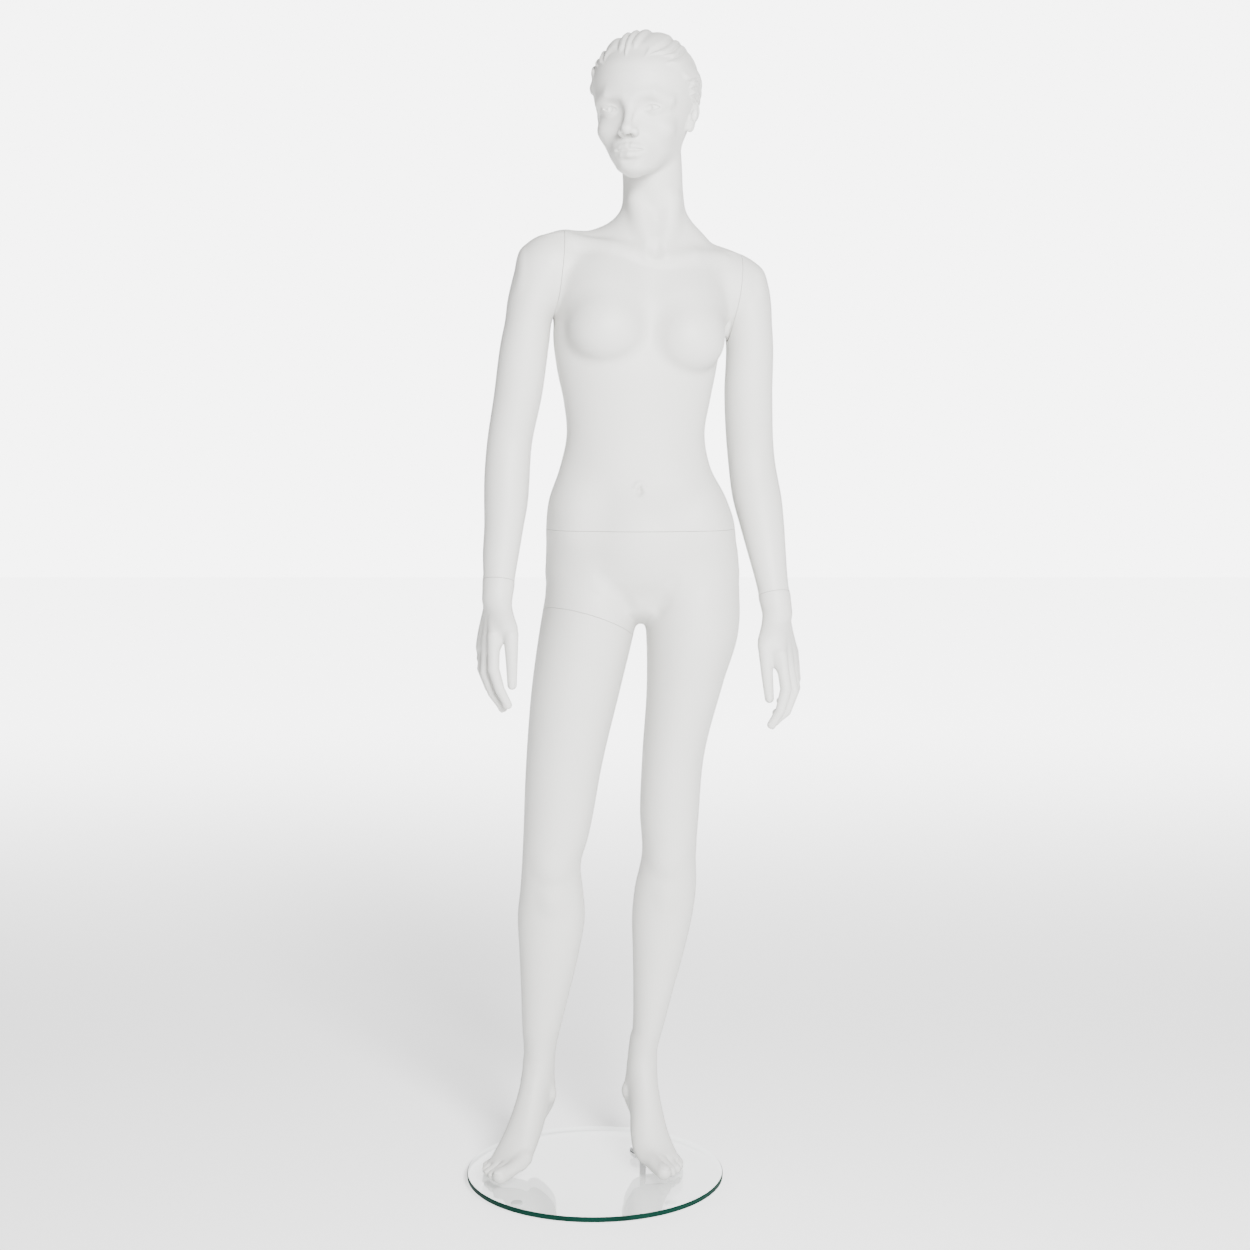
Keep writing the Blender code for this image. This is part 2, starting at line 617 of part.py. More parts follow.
# ---------------------------------------------------------------- feet and legs
def foot(side):
    """The bare foot on tiptoe: instep, heel and toes, with its sole flat on the glass."""
    skin = path_loft(INSTEPS[side])
    heel = level_loft(HEELS[side], 0.0, LIMB_SIDES)
    toes = [digit((root, tip), radius * TOE_TAPER, radius) for root, tip, radius in TOES[side]]
    skin = join(skin, heel, *toes)
    return cut(skin, everything_below(GLASS_TOP + GAP))


def leg(side, inset=0.0):
    return level_loft(LEGS[side], inset, LIMB_SIDES)


def hip_solid():
    """The pelvis with the top of the right thigh, which stops at its seam."""
    hips = join(level_loft(PELVIS, 0.0, TRUNK_SIDES), leg("right"), *[ball(*b) for b in BUTTOCKS])
    return cut(hips, beyond(THIGH, -SEAM / 2))


def hip_hollow():
    """The space inside the hips, which runs past the right thigh's seam to open it."""
    thigh = cut(leg("right", WALL), beyond(THIGH, HOLLOW_PAST_SEAM))
    return join(level_loft(PELVIS, WALL, TRUNK_SIDES), thigh)


def trimmed_cavity(side):
    """The hollow of a leg, which ends above the solid ankle."""
    return cut(leg(side, WALL), everything_below(ANKLE_SOLID_Z))


def lower_body():
    """Pelvis and left leg in one moulding, open at the waist and at the right thigh."""
    skin = join(hip_solid(), leg("left"), foot("left"))
    skin = cut(skin, beyond(WAIST, -SEAM / 2))
    hollow = join(hip_hollow(), trimmed_cavity("left"))
    placed = Matrix.Translation(Vector((SPIGOT.x, SPIGOT.y, 0)))
    screw_line = facing(Vector((0, 1, 0)), Vector((SPIGOT.x, SPIGOT.y, LOCK_SCREW_Z)))
    bores = [
        hollow,
        round_bar(SOCKET_R + GAP, SOLE_OVER_ROD - SOCKET_MARGIN, ANKLE_SOLID_Z + PAST, placed),
        round_bar(LOCK_SCREW_R + GAP, 0.0, HEEL_BACK_Y - SPIGOT.y + PAST, screw_line, SMALL_SIDES),
    ]
    piece("lower_body_shell", cut(skin, *bores), "fibreglass")


def right_leg():
    seam = (THIGH[0], -THIGH[1])
    skin = cut(leg("right"), beyond(seam, -SEAM / 2))
    skin = join(skin, foot("right"))
    hollow = cut(trimmed_cavity("right"), beyond(seam, HOLLOW_PAST_SEAM))
    piece("right_leg_shell", cut(skin, hollow), "fibreglass", THIGH[0])


# ---------------------------------------------------------------- torso, head, arms and hands
def arm(side, inset=0.0):
    return level_loft(ARMS[side], inset, LIMB_SIDES)


def torso():
    """Trunk, neck and head in one moulding, open at the waist and at both shoulders."""
    stubs = join(yoke_loft(0.0), arm("right"), arm("left"))
    stubs = cut(stubs, *[beyond(seam, -SEAM / 2) for seam in SHOULDERS.values()])
    trunk = cut(level_loft(CHEST, 0.0, TRUNK_SIDES), beyond((WAIST[0], -WAIST[1]), -SEAM / 2),
                *[beyond(seam, -SEAM / 2, SHOULDER_REACH) for seam in SHOULDERS.values()])
    skin = join(trunk, stubs, level_loft(NECK, 0.0, LIMB_SIDES), level_loft(HEAD, 0.0, TRUNK_SIDES),
                ball(*NOSE, rows=6, sides=8), *[ball(*e, rows=6, sides=10) for e in EARS],
                *[ball(*b) for b in BREASTS])
    hollow = join(level_loft(CHEST, WALL, TRUNK_SIDES), yoke_loft(WALL),
                  level_loft(NECK, WALL + NECK_EXTRA_WALL, LIMB_SIDES),
                  level_loft(HEAD[2:-1], WALL + HEAD_EXTRA_WALL, TRUNK_SIDES))
    piece("torso_shell", cut(skin, hollow), "fibreglass", WAIST[0])


def arm_shell(side):
    """One arm, from the shoulder seam to the wrist seam, open at both."""
    shoulder = SHOULDERS[side]
    inward = (shoulder[0], -shoulder[1])
    skin = join(arm(side), yoke_loft(0.0))
    skin = cut(skin, beyond(inward, -SEAM / 2), beyond(WRISTS[side], -SEAM / 2))
    hollow = join(arm(side, WALL), yoke_loft(WALL))
    hollow = cut(hollow, beyond(inward, HOLLOW_PAST_SEAM))
    piece(f"{side}_arm_shell", cut(skin, hollow), "fibreglass", shoulder[0])


def hand(side):
    """A solid hand with a pocket for its stud at the wrist."""
    seam = WRISTS[side]
    skin = path_loft(PALMS[side], across=PALM_ACROSS[side])
    skin = join(skin, *[digit(*d) for d in DIGITS[side]])
    skin = cut(skin, beyond((seam[0], -seam[1]), -SEAM / 2))
    pocket = round_bar(SMALL_FITTING["shank_r"] + GAP, -PAST, SMALL_FITTING["anchor"] + GAP,
                       facing(seam[1], seam[0]))
    piece(f"{side}_hand", cut(skin, pocket), "fibreglass", seam[0])


# ---------------------------------------------------------------- bulkheads and bayonets
def bulkhead(name, hollow, seam, side, hole_r, pivot=None):
    """A board that closes a moulding just behind its seam. side is -1 for the fixed moulding."""
    point, normal = seam
    near = side * PLATE_SET_BACK
    far = side * (PLATE_SET_BACK + PLATE_T)
    spread = TRUNK_BOARD_SPREAD if seam is WAIST or seam is THIGH else LIMB_BOARD_SPREAD
    slab = block((spread, spread, PLATE_T), (0, 0, (near + far) / 2), facing(normal, point))
    plate = keep_inside(slab, hollow)
    bore = round_bar(hole_r, min(near, far) - PAST, max(near, far) + PAST, facing(normal, point))
    piece(name, cut(plate, bore), "board", pivot)


def keyhole_plate(name, seam, fitting, spin):
    """The steel keyhole plate behind the fixed moulding's bulkhead."""
    top = -(PLATE_SET_BACK + PLATE_T + GAP)
    low = top - fitting["key_t"]
    placed = facing(seam[1], seam[0], spin)
    head = fitting["head_half"] + KEY_CLEARANCE
    slot_width = 2 * (fitting["shank_r"] + SLOT_CLEARANCE)
    tools = [
        round_bar(fitting["shank_r"] + KEY_CLEARANCE, low - PAST, top + PAST, placed),
        block((2 * head, slot_width, 2 * PAST), (0, 0, top), placed),
    ]
    if "screw_at" in fitting:
        for sign in (-1, 1):
            at = placed @ Matrix.Translation(Vector((0, sign * fitting["screw_at"], 0)))
            tools.append(round_bar(fitting["screw_r"] + GAP, low - PAST, top + PAST, at, SMALL_SIDES))
    piece(name, cut(round_bar(fitting["key_r"], low, top, placed), *tools), "steel")


def keyhole_screws(name, seam, fitting, spin):
    """Two pan head screws that hold the keyhole plate to its bulkhead."""
    plate_low = -(PLATE_SET_BACK + PLATE_T + GAP) - fitting["key_t"]
    placed = facing(seam[1], seam[0], spin)
    for number, sign in enumerate((-1, 1), 1):
        at = placed @ Matrix.Translation(Vector((0, sign * fitting["screw_at"], 0)))
        head_top = plate_low - GAP
        head = round_bar(SCREW_HEAD_R, head_top - SCREW_HEAD_T, head_top, at, SMALL_SIDES)
        shank = round_bar(fitting["screw_r"], head_top - SCREW_HEAD_T / 2, plate_low + SCREW_REACH,
                          at, SMALL_SIDES)
        piece(f"{name}_{number}", join(head, shank), "steel")


def screw_holes(name, seam, fitting, spin):
    """Pilot holes for those screws in a bulkhead that is already made."""
    placed = facing(seam[1], seam[0], spin)
    tools = []
    for sign in (-1, 1):
        at = placed @ Matrix.Translation(Vector((0, sign * fitting["screw_at"], 0)))
        tools.append(round_bar(fitting["screw_r"] + GAP, -2 * PAST, -PLATE_SET_BACK - PILOT_SKIN, at,
                               SMALL_SIDES))
    cut(bpy.data.objects[name], *tools)


def bayonet_stud(name, seam, fitting, pivot):
    """A T-headed stud that crosses the seam and hooks behind the keyhole plate."""
    placed = facing(seam[1], seam[0])
    back = -(PLATE_SET_BACK + PLATE_T + GAP + fitting["key_t"] + 2 * GAP)
    half = fitting["head_half"]
    head = block((2 * half, 2 * fitting["shank_r"], fitting["head_t"]),
                 (0, 0, back - fitting["head_t"] / 2), placed)
    far = fitting.get("anchor")
    if far is None:
        far = PLATE_SET_BACK + PLATE_T + GAP + fitting["nut_t"] + THREAD_PAST_NUT
    shank = round_bar(fitting["shank_r"] - SHANK_EASE, back - fitting["head_t"] / 2, far, placed)
    piece(name, join(head, shank), "steel", pivot)


def stud_nut(name, seam, fitting, pivot):
    """The hex nut that holds the stud to the removable moulding's bulkhead."""
    placed = facing(seam[1], seam[0])
    low = PLATE_SET_BACK + PLATE_T + GAP
    nut = cut(round_bar(fitting["nut_r"], low, low + fitting["nut_t"], placed, 6),
              round_bar(fitting["shank_r"] + GAP, low - PAST, low + 2 * PAST, placed))
    piece(name, nut, "steel", pivot)


def large_fitting(joint, seam, fixed_hollow, loose_hollow, release):
    """Everything at one large seam. release is the turn that frees the stud, in degrees."""
    fitting = LARGE_FITTING
    bulkhead(f"{joint}_socket_board", fixed_hollow, seam, -1, fitting["hole_r"])
    screw_holes(f"{joint}_socket_board", seam, fitting, release)
    bulkhead(f"{joint}_stud_board", loose_hollow, seam, 1, fitting["shank_r"] + GAP, seam[0])
    keyhole_plate(f"{joint}_keyhole_plate", seam, fitting, release)
    keyhole_screws(f"{joint}_plate_screw", seam, fitting, release)
    bayonet_stud(f"{joint}_bayonet_stud", seam, fitting, seam[0])
    stud_nut(f"{joint}_stud_nut", seam, fitting, seam[0])


def wrist_fitting(side, release):
    """The small bayonet of one wrist, whose stud is moulded in the solid hand."""
    seam = WRISTS[side]
    hollow = arm(side, WALL + BOARD_GAP)
    bulkhead(f"{side}_wrist_socket_board", hollow, seam, -1, SMALL_FITTING["hole_r"])
    keyhole_plate(f"{side}_wrist_keyhole_plate", seam, SMALL_FITTING, release)
    bayonet_stud(f"{side}_wrist_stud", seam, SMALL_FITTING, seam[0])


def shoulder_hollow(side):
    """The space inside the wall where an arm meets the trunk."""
    return join(arm(side, WALL + BOARD_GAP), yoke_loft(WALL + BOARD_GAP))


def fittings():
    inside = WALL + BOARD_GAP
    large_fitting("waist", WAIST, level_loft(PELVIS, inside, TRUNK_SIDES),
                  level_loft(CHEST, inside, TRUNK_SIDES), 45)
    large_fitting("thigh", THIGH, leg("right", inside), leg("right", inside), 25)
    for side in ("right", "left"):
        large_fitting(f"{side}_shoulder", SHOULDERS[side], yoke_loft(inside),
                      shoulder_hollow(side), 45)
        wrist_fitting(side, 90)


def build():
    clear_scene()
    glass_disc()
    base_pads()
    foot_spigot()
    heel_socket()
    lower_body()
    right_leg()
    torso()
    for side in ("right", "left"):
        arm_shell(side)
        hand(side)
    fittings()


build()
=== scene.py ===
"""The looks of the full body mannequin: a sculpted fibreglass figure on a round glass base.

The body is one smooth field, built from level sections and rounded forms. It is meshed once for
each moulding and cut along the seams, which come from the record's joints. Metres, +Z up; the
figure faces -Y, and left and right are the figure's own.
"""

import json
import math

import bmesh
import bpy
import numpy as np
from mathutils import Matrix, Vector


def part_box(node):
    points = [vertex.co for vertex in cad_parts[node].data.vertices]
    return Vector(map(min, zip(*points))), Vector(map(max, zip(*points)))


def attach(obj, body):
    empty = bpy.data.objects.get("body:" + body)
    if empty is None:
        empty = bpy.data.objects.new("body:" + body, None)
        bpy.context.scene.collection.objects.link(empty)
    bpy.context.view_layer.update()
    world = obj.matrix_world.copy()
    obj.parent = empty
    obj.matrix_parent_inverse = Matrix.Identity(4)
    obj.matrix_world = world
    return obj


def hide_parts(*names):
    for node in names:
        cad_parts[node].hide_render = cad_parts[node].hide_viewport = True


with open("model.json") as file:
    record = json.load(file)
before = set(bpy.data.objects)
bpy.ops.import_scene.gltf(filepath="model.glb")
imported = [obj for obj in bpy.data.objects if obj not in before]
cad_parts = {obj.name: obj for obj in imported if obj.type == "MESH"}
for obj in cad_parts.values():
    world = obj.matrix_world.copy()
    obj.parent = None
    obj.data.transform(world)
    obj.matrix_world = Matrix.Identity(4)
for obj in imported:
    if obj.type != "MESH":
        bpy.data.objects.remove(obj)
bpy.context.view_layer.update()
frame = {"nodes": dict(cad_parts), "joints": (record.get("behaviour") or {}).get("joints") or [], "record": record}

JOINTS = {joint["name"]: joint for joint in frame["joints"]}
COARSE = 1.0     # cell size factor while trying things
FAR = 1.0               # the field where no form reaches
NO_FORM_NEAR = 0.012    # a form is read this far beyond its box and its fillet
WIDEST_FILLET = 0.04    # the same for a form whose fillet changes with height
SLOPE_STEP = 0.0003     # half the distance over which the field's slope is measured
CUT_SNAP = 1e-6         # a cut takes vertices nearer than this as lying on it
ON_CUT = 2e-5           # a vertex nearer to the cut's plane than this belongs to its rim

SEAM_GAP = 0.0004       # open line between two mouldings
SEAM_ROUND = 0.0004     # softened outer edge of a moulding at its seam
LIP_WIDTH = 0.004       # wall thickness seen at an open seam
LIP_DEPTH = 0.012       # how deep that wall reaches behind the seam

TRUNK_CELL = 0.0044
LIMB_CELL = 0.0032
HAND_CELL = 0.0016
HEAD_CELL = 0.0018
FOOT_CELL = 0.0017

FLOOR_Z = -0.0005
FLOOR_HALF = 12.0
FLOOR_GLOW = (0.8, 5.2)     # the far floor is as white as the sky behind it
FLOOR_RISE = (0.5, 5.0)     # where behind the figure the floor's glow begins and is full
SKY_RISE = (0.84, 0.95)     # how far toward the back the sky turns from calm to bright
SKY_GLOW = (0.5, 6.5)
KEY_AT, KEY_AIM = (1.1, -3.4, 2.5), (0.05, 0.0, 0.95)
KEY_SIZE, KEY_POWER = 1.5, 560
CAMERA_AT = (0.047, -3.2, 1.194)
CAMERA_DOWN = 5.79      # degrees below level
CAMERA_LENS = 60.65


# ---------------------------------------------------------------- where a field is read
class Grid:
    """A block of points on level layers, whose cells can grow or shrink from layer to layer."""

    def __init__(self, levels, centres, cells, width, depth):
        self.z = levels
        self.cells = cells
        self.centres = centres
        finest = cells.min()
        self.shape = (int(width / finest), int(depth / finest), len(levels))
        self.x = self.spread(0)
        self.y = self.spread(1)

    def spread(self, axis):
        count = self.shape[axis]
        steps = (np.arange(count) - (count - 1) / 2)[:, None] * self.cells[None, :]
        line = (steps + self.centres[axis][None, :]).astype(np.float32)
        return line[:, None, :] if axis == 0 else line[None, :, :]

    def blank(self):
        return np.full(self.shape, FAR, np.float32)

    def window(self, low, high):
        """The index ranges that cover a box, and the coordinates there."""
        layers = np.flatnonzero((self.z >= low[2]) & (self.z <= high[2]))
        if not len(layers):
            return None, None
        tall = slice(layers[0], layers[-1] + 1)
        ranges = []
        for axis, line in enumerate((self.x[:, 0, tall], self.y[0, :, tall])):
            hit = np.flatnonzero((line.max(1) >= low[axis]) & (line.min(1) <= high[axis]))
            if not len(hit):
                return None, None
            ranges.append(slice(hit[0], hit[-1] + 1))
        across, along = ranges
        spots = (self.x[across, :, tall], self.y[:, along, tall],
                 self.z[None, None, tall].astype(np.float32))
        return (across, along, tall), spots

    def place(self, index):
        """Real positions of fractional grid indices."""
        layer = index[:, 2]
        steps = np.arange(self.shape[2])
        cell = np.interp(layer, steps, self.cells)
        out = np.empty_like(index)
        for axis in (0, 1):
            centre = np.interp(layer, steps, self.centres[axis])
            out[:, axis] = centre + (index[:, axis] - (self.shape[axis] - 1) / 2) * cell
        out[:, 2] = np.interp(layer, steps, self.z)
        return out


class Cloud:
    """Loose points at which a field is read."""

    def __init__(self, points):
        self.points = points

    def blank(self):
        return np.full(len(self.points), FAR)

    def window(self, low, high):
        p = self.points
        hit = np.flatnonzero(((p >= low) & (p <= high)).all(axis=1))
        if not len(hit):
            return None, None
        return hit, (p[hit, 0], p[hit, 1], p[hit, 2])


def warped_grid(low_z, high_z, cell, centre, width, depth):
    """Layers one cell apart. The cell size and the layers' middle x and y are ramps by height."""
    levels, z = [], low_z
    while z < high_z:
        levels.append(z)
        z += float(ramp(z, *cell)) * COARSE
    levels = np.array(levels)
    centres = [ramp(levels, *line) for line in centre]
    return Grid(levels, centres, ramp(levels, *cell) * COARSE, width, depth)


def ramp(value, low, high, at_low, at_high):
    """A smooth change from one value to another between two limits."""
    t = np.clip((value - low) / (high - low), 0.0, 1.0)
    return at_low + (at_high - at_low) * t * t * (3 - 2 * t)


def steady(value):
    """The ramp that keeps one value at every height."""
    return 0.0, 1.0, value, value


# ---------------------------------------------------------------- forms
class Form:
    """A distance function, negative inside, and the box that the form fills."""

    def __init__(self, low, high, distance):
        self.low = np.array(low, float)
        self.high = np.array(high, float)
        self.distance = distance


def turned(form, matrix):
    """The form moved rigidly from its own frame to the part's."""
    corners = [matrix @ Vector((x, y, z)) for x in (form.low[0], form.high[0])
               for y in (form.low[1], form.high[1]) for z in (form.low[2], form.high[2])]
    corners = np.array(corners)
    back = np.array(matrix.inverted())

    def distance(x, y, z):
        return form.distance(*(back[i, 0] * x + back[i, 1] * y + back[i, 2] * z + back[i, 3]
                               for i in range(3)))
    return Form(corners.min(0), corners.max(0), distance)


def read_table(along, rows):
    """Each column of the rows after the first, read on a smooth curve at the given places."""
    rows = np.array(rows, float)
    rows = rows[np.argsort(rows[:, 0])]
    at, columns = rows[:, 0], rows[:, 1:]
    slopes = np.gradient(columns, at, axis=0)
    i = np.clip(np.searchsorted(at, along) - 1, 0, len(at) - 2)
    span = at[i + 1] - at[i]
    t = np.clip((along - at[i]) / span, 0, 1)
    out = []
    for column, slope in zip(columns.T, slopes.T):
        out.append((2 * t ** 3 - 3 * t ** 2 + 1) * column[i]
                   + (t ** 3 - 2 * t ** 2 + t) * span * slope[i]
                   + (3 * t ** 2 - 2 * t ** 3) * column[i + 1]
                   + (t ** 3 - t ** 2) * span * slope[i + 1])
    return out


def loft(rows, squareness=2.0, cap=0.012):
    """A form through level sections: z, x, y, half width, depth to the front and to the back, yaw."""
    table = np.array(rows, float)
    reach = np.maximum(table[:, 3], np.maximum(table[:, 4], table[:, 5])) * 1.02
    low = (table[:, 1] - reach).min(), (table[:, 2] - reach).min(), table[:, 0].min()
    high = (table[:, 1] + reach).max(), (table[:, 2] + reach).max(), table[:, 0].max()
    middle, half = (low[2] + high[2]) / 2, (high[2] - low[2]) / 2

    def distance(x, y, z):
        cx, cy, wide, front, back, yaw = read_table(z, rows)
        cosine, sine = np.cos(np.radians(yaw)), np.sin(np.radians(yaw))
        u = (x - cx) * cosine + (y - cy) * sine
        v = (y - cy) * cosine - (x - cx) * sine
        deep = np.where(v < 0, front, back)
        if squareness == 2.0:
            ratio = np.sqrt((u / wide) ** 2 + (v / deep) ** 2)
        else:
            ratio = (np.abs(u / wide) ** squareness
                     + np.abs(v / deep) ** squareness) ** (1 / squareness)
        ratio = np.maximum(ratio, 1e-3)
        radial = np.sqrt(u * u + v * v)
        side = np.where(ratio > 0.02, radial * (1 - 1 / ratio), -np.minimum(wide, deep))
        return meet(side, np.abs(z - middle) - half, cap)
    return Form(low, high, distance)


def along_x(form):
    """The same form with its level sections stood upright, so that it runs along X."""
    turn = Matrix(((0, 0, 1, 0), (1, 0, 0, 0), (0, 1, 0, 0), (0, 0, 0, 1)))
    return turned(form, turn)


def blob(centre, radii, yaw=0.0):
    """An ellipsoid."""
    rx, ry, rz = radii

    def distance(x, y, z):
        near = np.sqrt((x / rx) ** 2 + (y / ry) ** 2 + (z / rz) ** 2)
        pull = np.sqrt((x / rx ** 2) ** 2 + (y / ry ** 2) ** 2 + (z / rz ** 2) ** 2)
        return near * (near - 1) / np.maximum(pull, 1e-4)
    place = Matrix.Translation(centre) @ Matrix.Rotation(math.radians(yaw), 4, "Z")
    return turned(Form((-rx, -ry, -rz), (rx, ry, rz), distance), place)


def rod(points, radii):
    """A rounded rod through points, with its own radius at each one."""
    points = [np.array(p, float) for p in points]
    widest = max(radii)
    low = np.min(points, axis=0) - widest
    high = np.max(points, axis=0) + widest

    def distance(x, y, z):
        best = None
        for i in range(len(points) - 1):
            start, run = points[i], points[i + 1] - points[i]
            dx, dy, dz = x - start[0], y - start[1], z - start[2]
            t = np.clip((dx * run[0] + dy * run[1] + dz * run[2]) / (run @ run), 0, 1)
            gap = np.sqrt((dx - t * run[0]) ** 2 + (dy - t * run[1]) ** 2
                          + (dz - t * run[2]) ** 2)
            gap = gap - (radii[i] + (radii[i + 1] - radii[i]) * t)
            best = gap if best is None else np.minimum(best, gap)
        return best
    return Form(low, high, distance)


def join(a, b, soft):
    """The union of two distances, with a rounded fillet."""
    overlap = np.maximum(soft - np.abs(a - b), 0) / soft
    return np.minimum(a, b) - overlap * overlap * soft / 4


def meet(a, b, soft):
    """The part that two distances share, with a rounded edge."""
    overlap = np.maximum(soft - np.abs(a - b), 0) / soft
    return np.maximum(a, b) + overlap * overlap * soft / 4


# ---------------------------------------------------------------- the sculpture's list of steps
class Sculpture:
    """The ordered list of forms. A group of forms can be left out below a height while meshing."""

    def __init__(self):
        self.steps = []
        self.group = ""
        self.left_out_below = {}

    def add(self, form, soft=0.01):
        self.steps.append((form, soft, join, self.group))

    def carve(self, form, soft=0.006):
        self.steps.append((form, soft, carve_step, self.group))

    def raise_by(self, low, high, height):
        """Push the surface out by a height that varies over a box."""
        self.steps.append((Form(low, high, height), 0.0, raise_step, self.group))

    def read(self, points):
        field = points.blank()
        for form, soft, act, group in self.steps:
            margin = WIDEST_FILLET if callable(soft) else soft + NO_FORM_NEAR
            where, spots = points.window(form.low - margin, form.high + margin)
            if where is None:
                continue
            amount = soft(spots[2]) if callable(soft) else soft
            distance = form.distance(*spots)
            if group in self.left_out_below:
                distance = meet(distance, self.left_out_below[group] - spots[2], 0.01)
            field[where] = act(field[where], distance, amount)
        return field


def carve_step(field, distance, soft):
    return meet(field, -distance, soft)


def raise_step(field, height, _):
    return field - height


BODY = Sculpture()

# ---------------------------------------------------------------- tables, in millimetres
def metres(table):
    """The same table with its millimetres turned into metres."""
    if isinstance(table, dict):
        return {key: metres(rows) for key, rows in table.items()}
    if isinstance(table, (list, tuple)):
        return [metres(entry) for entry in table]
    return table / 1000


def sections(table):
    """Level sections in metres, with a yaw of 0 degrees where a row gives none."""
    if isinstance(table, dict):
        return {key: sections(rows) for key, rows in table.items()}
    return [(*metres(row[:6]), row[6] if len(row) > 6 else 0) for row in table]


# Level sections: z, x, y, half width, depth to the front, depth to the back, yaw in degrees.
TRUNK = sections([
    (873, 70, 34, 14, 30, 40),
    (884, 70, 36, 34, 50, 60),
    (906, 71, 38, 70, 72, 80),
    (935, 73, 38, 128, 88, 90),
    (965, 73.5, 36, 146, 94, 92),
    (998, 71.8, 34, 145.5, 98, 94),
    (1030, 70, 33, 142, 96, 92, 1),
    (1058, 66.2, 31, 134.5, 90, 84, 2),
    (1100, 62.7, 29, 118, 82, 74, 4),
    (1160, 63.2, 29, 105.5, 75, 68, 7),
    (1210, 65, 32, 112, 77, 74, 9),
    (1260, 65, 37, 122.5, 81, 83, 11),
    (1320, 67.2, 43, 130, 80, 88, 12),
    (1370, 74, 51, 127, 72, 82, 12),
    (1415, 81, 57, 108, 57, 66, 12),
    (1450, 86, 60, 70, 42, 48, 10),
])
# Across the shoulders: x, y, z, half depth, height of the lower and of the upper half.
YOKE = sections([
    (-100, 19, 1398, 26, 30, 30),
    (-56, 28, 1408, 46, 55, 53),
    (0, 44, 1420, 47, 55, 47),
    (85, 60, 1425, 49, 56, 44),
    (160, 77, 1405, 49, 53, 46),
    (213, 85, 1382, 46, 53, 51),
    (245, 87, 1366, 28, 33, 33),
])
NECK = sections([
    (1415, 89, 60, 74, 44, 46, 10),
    (1440, 89, 60, 70, 46, 46, 8),
    (1470, 90.5, 57, 59.5, 46, 47, 4),
    (1495, 90.5, 53, 49.5, 46, 48),
    (1525, 89.5, 47, 45.8, 45, 49, -6),
    (1560, 88, 40, 45.2, 46, 50, -12),
    (1600, 86, 34, 44, 48, 52, -18),
    (1630, 85, 30, 43, 48, 52, -18),
])
ARMS = sections({
    "right": [
        (1456, -70, 20, 20, 20, 20),
        (1440, -74, 20, 32, 32, 32),
        (1400, -82, 20, 39, 42, 42),
        (1360, -90.5, 20, 40.5, 46, 44),
        (1330, -99.2, 21, 35.8, 44, 43),
        (1300, -104.5, 22, 36.8, 42, 42),
        (1220, -115.9, 28, 36.8, 40, 40),
        (1140, -130.2, 30, 34.5, 36, 38),
        (1085, -133.5, 19, 34.5, 37, 38),
        (1059.5, -134.2, 12, 33.6, 37, 36),
        (1020, -136.9, -2, 30, 34, 33),
        (980, -140.8, -17, 27.5, 30, 29),
        (942.4, -143.2, -30, 23.8, 26, 26),
        (903.8, -146.4, -42, 21.5, 23, 23),
    ],
    "left": [
        (1432, 216, 85, 20, 20, 20),
        (1415, 221, 85, 34, 34, 34),
        (1385, 229, 85, 39.4, 43, 42),
        (1360, 232, 85, 40.5, 46, 44),
        (1330, 237, 84, 37, 45, 43),
        (1300, 239.3, 83, 36.6, 42, 42),
        (1220, 238.4, 88, 37.3, 40, 40),
        (1118, 244.2, 95, 36.6, 37, 38),
        (1056.8, 252.9, 78, 37.9, 38, 37),
        (1016.6, 259.7, 64, 34.2, 35, 34),
        (980, 265.5, 51, 30, 31, 30),
        (937.2, 272.5, 36, 25.3, 27, 27),
        (878.2, 282.3, 18, 22.1, 24, 24),
    ],
})
LEGS = sections({
    "right": [
        (990, 6, 36, 46, 70, 60),
        (955, -2, 36, 66, 84, 78),
        (905, -3, 34, 74, 92, 90),
        (857, -12, 30, 73.1, 87, 85),
        (777, -27.1, 26, 69.1, 76, 76),
        (656, -46.6, 22, 59.4, 63, 62),
        (536, -60.7, 21, 50.4, 52, 50),
        (494, -67.4, 24, 45.9, 48, 49),
        (452, -67.7, 34, 49, 47, 53),
        (410, -68.5, 43, 52.7, 47, 58),
        (347, -72.3, 52, 47.2, 44, 51),
        (280, -79, 60, 38.5, 38, 40),
        (220, -85.7, 67, 30.6, 34, 34),
        (170, -89.8, 72, 24, 31, 31),
        (132, -93.5, 68, 24.5, 34, 30),
    ],
    "left": [
        (990, 136, 36, 46, 70, 60),
        (955, 148, 36, 67, 84, 78),
        (905, 149.5, 35, 74, 92, 90),
        (857, 150.5, 30, 71.2, 87, 85),
        (776, 139.5, 32, 59, 75, 75),
        (660, 121.5, 37, 48, 62, 62),
        (573, 116.3, 41, 46, 53, 53),
        (505, 115.7, 45, 42.5, 49, 49),
        (449, 110.5, 56, 48.2, 48, 55),
        (406, 106, 64, 47.8, 47, 58),
        (344, 100, 71, 40.8, 43, 50),
        (280, 92, 77, 32, 37, 40),
        (220, 84.3, 82, 25, 33, 34),
        (165, 75.2, 87, 21.5, 31, 31),
        (132, 75.5, 80, 23.5, 34, 30),
    ],
})
ELBOWS = metres({"right": (-127, 58, 1125), "left": (246, 124, 1105)})
KNEES = metres({"right": (-66, -16.5, 500), "left": (113, 6, 505)})
ANKLES = metres({
    "right": ((-111, 70, 126), (-69.5, 62, 112)),
    "left": ((89.5, 84, 126), (49, 80, 112)),
})
WEB_Z = {"right": 1.34, "left": 1.306}     # underside of each armpit
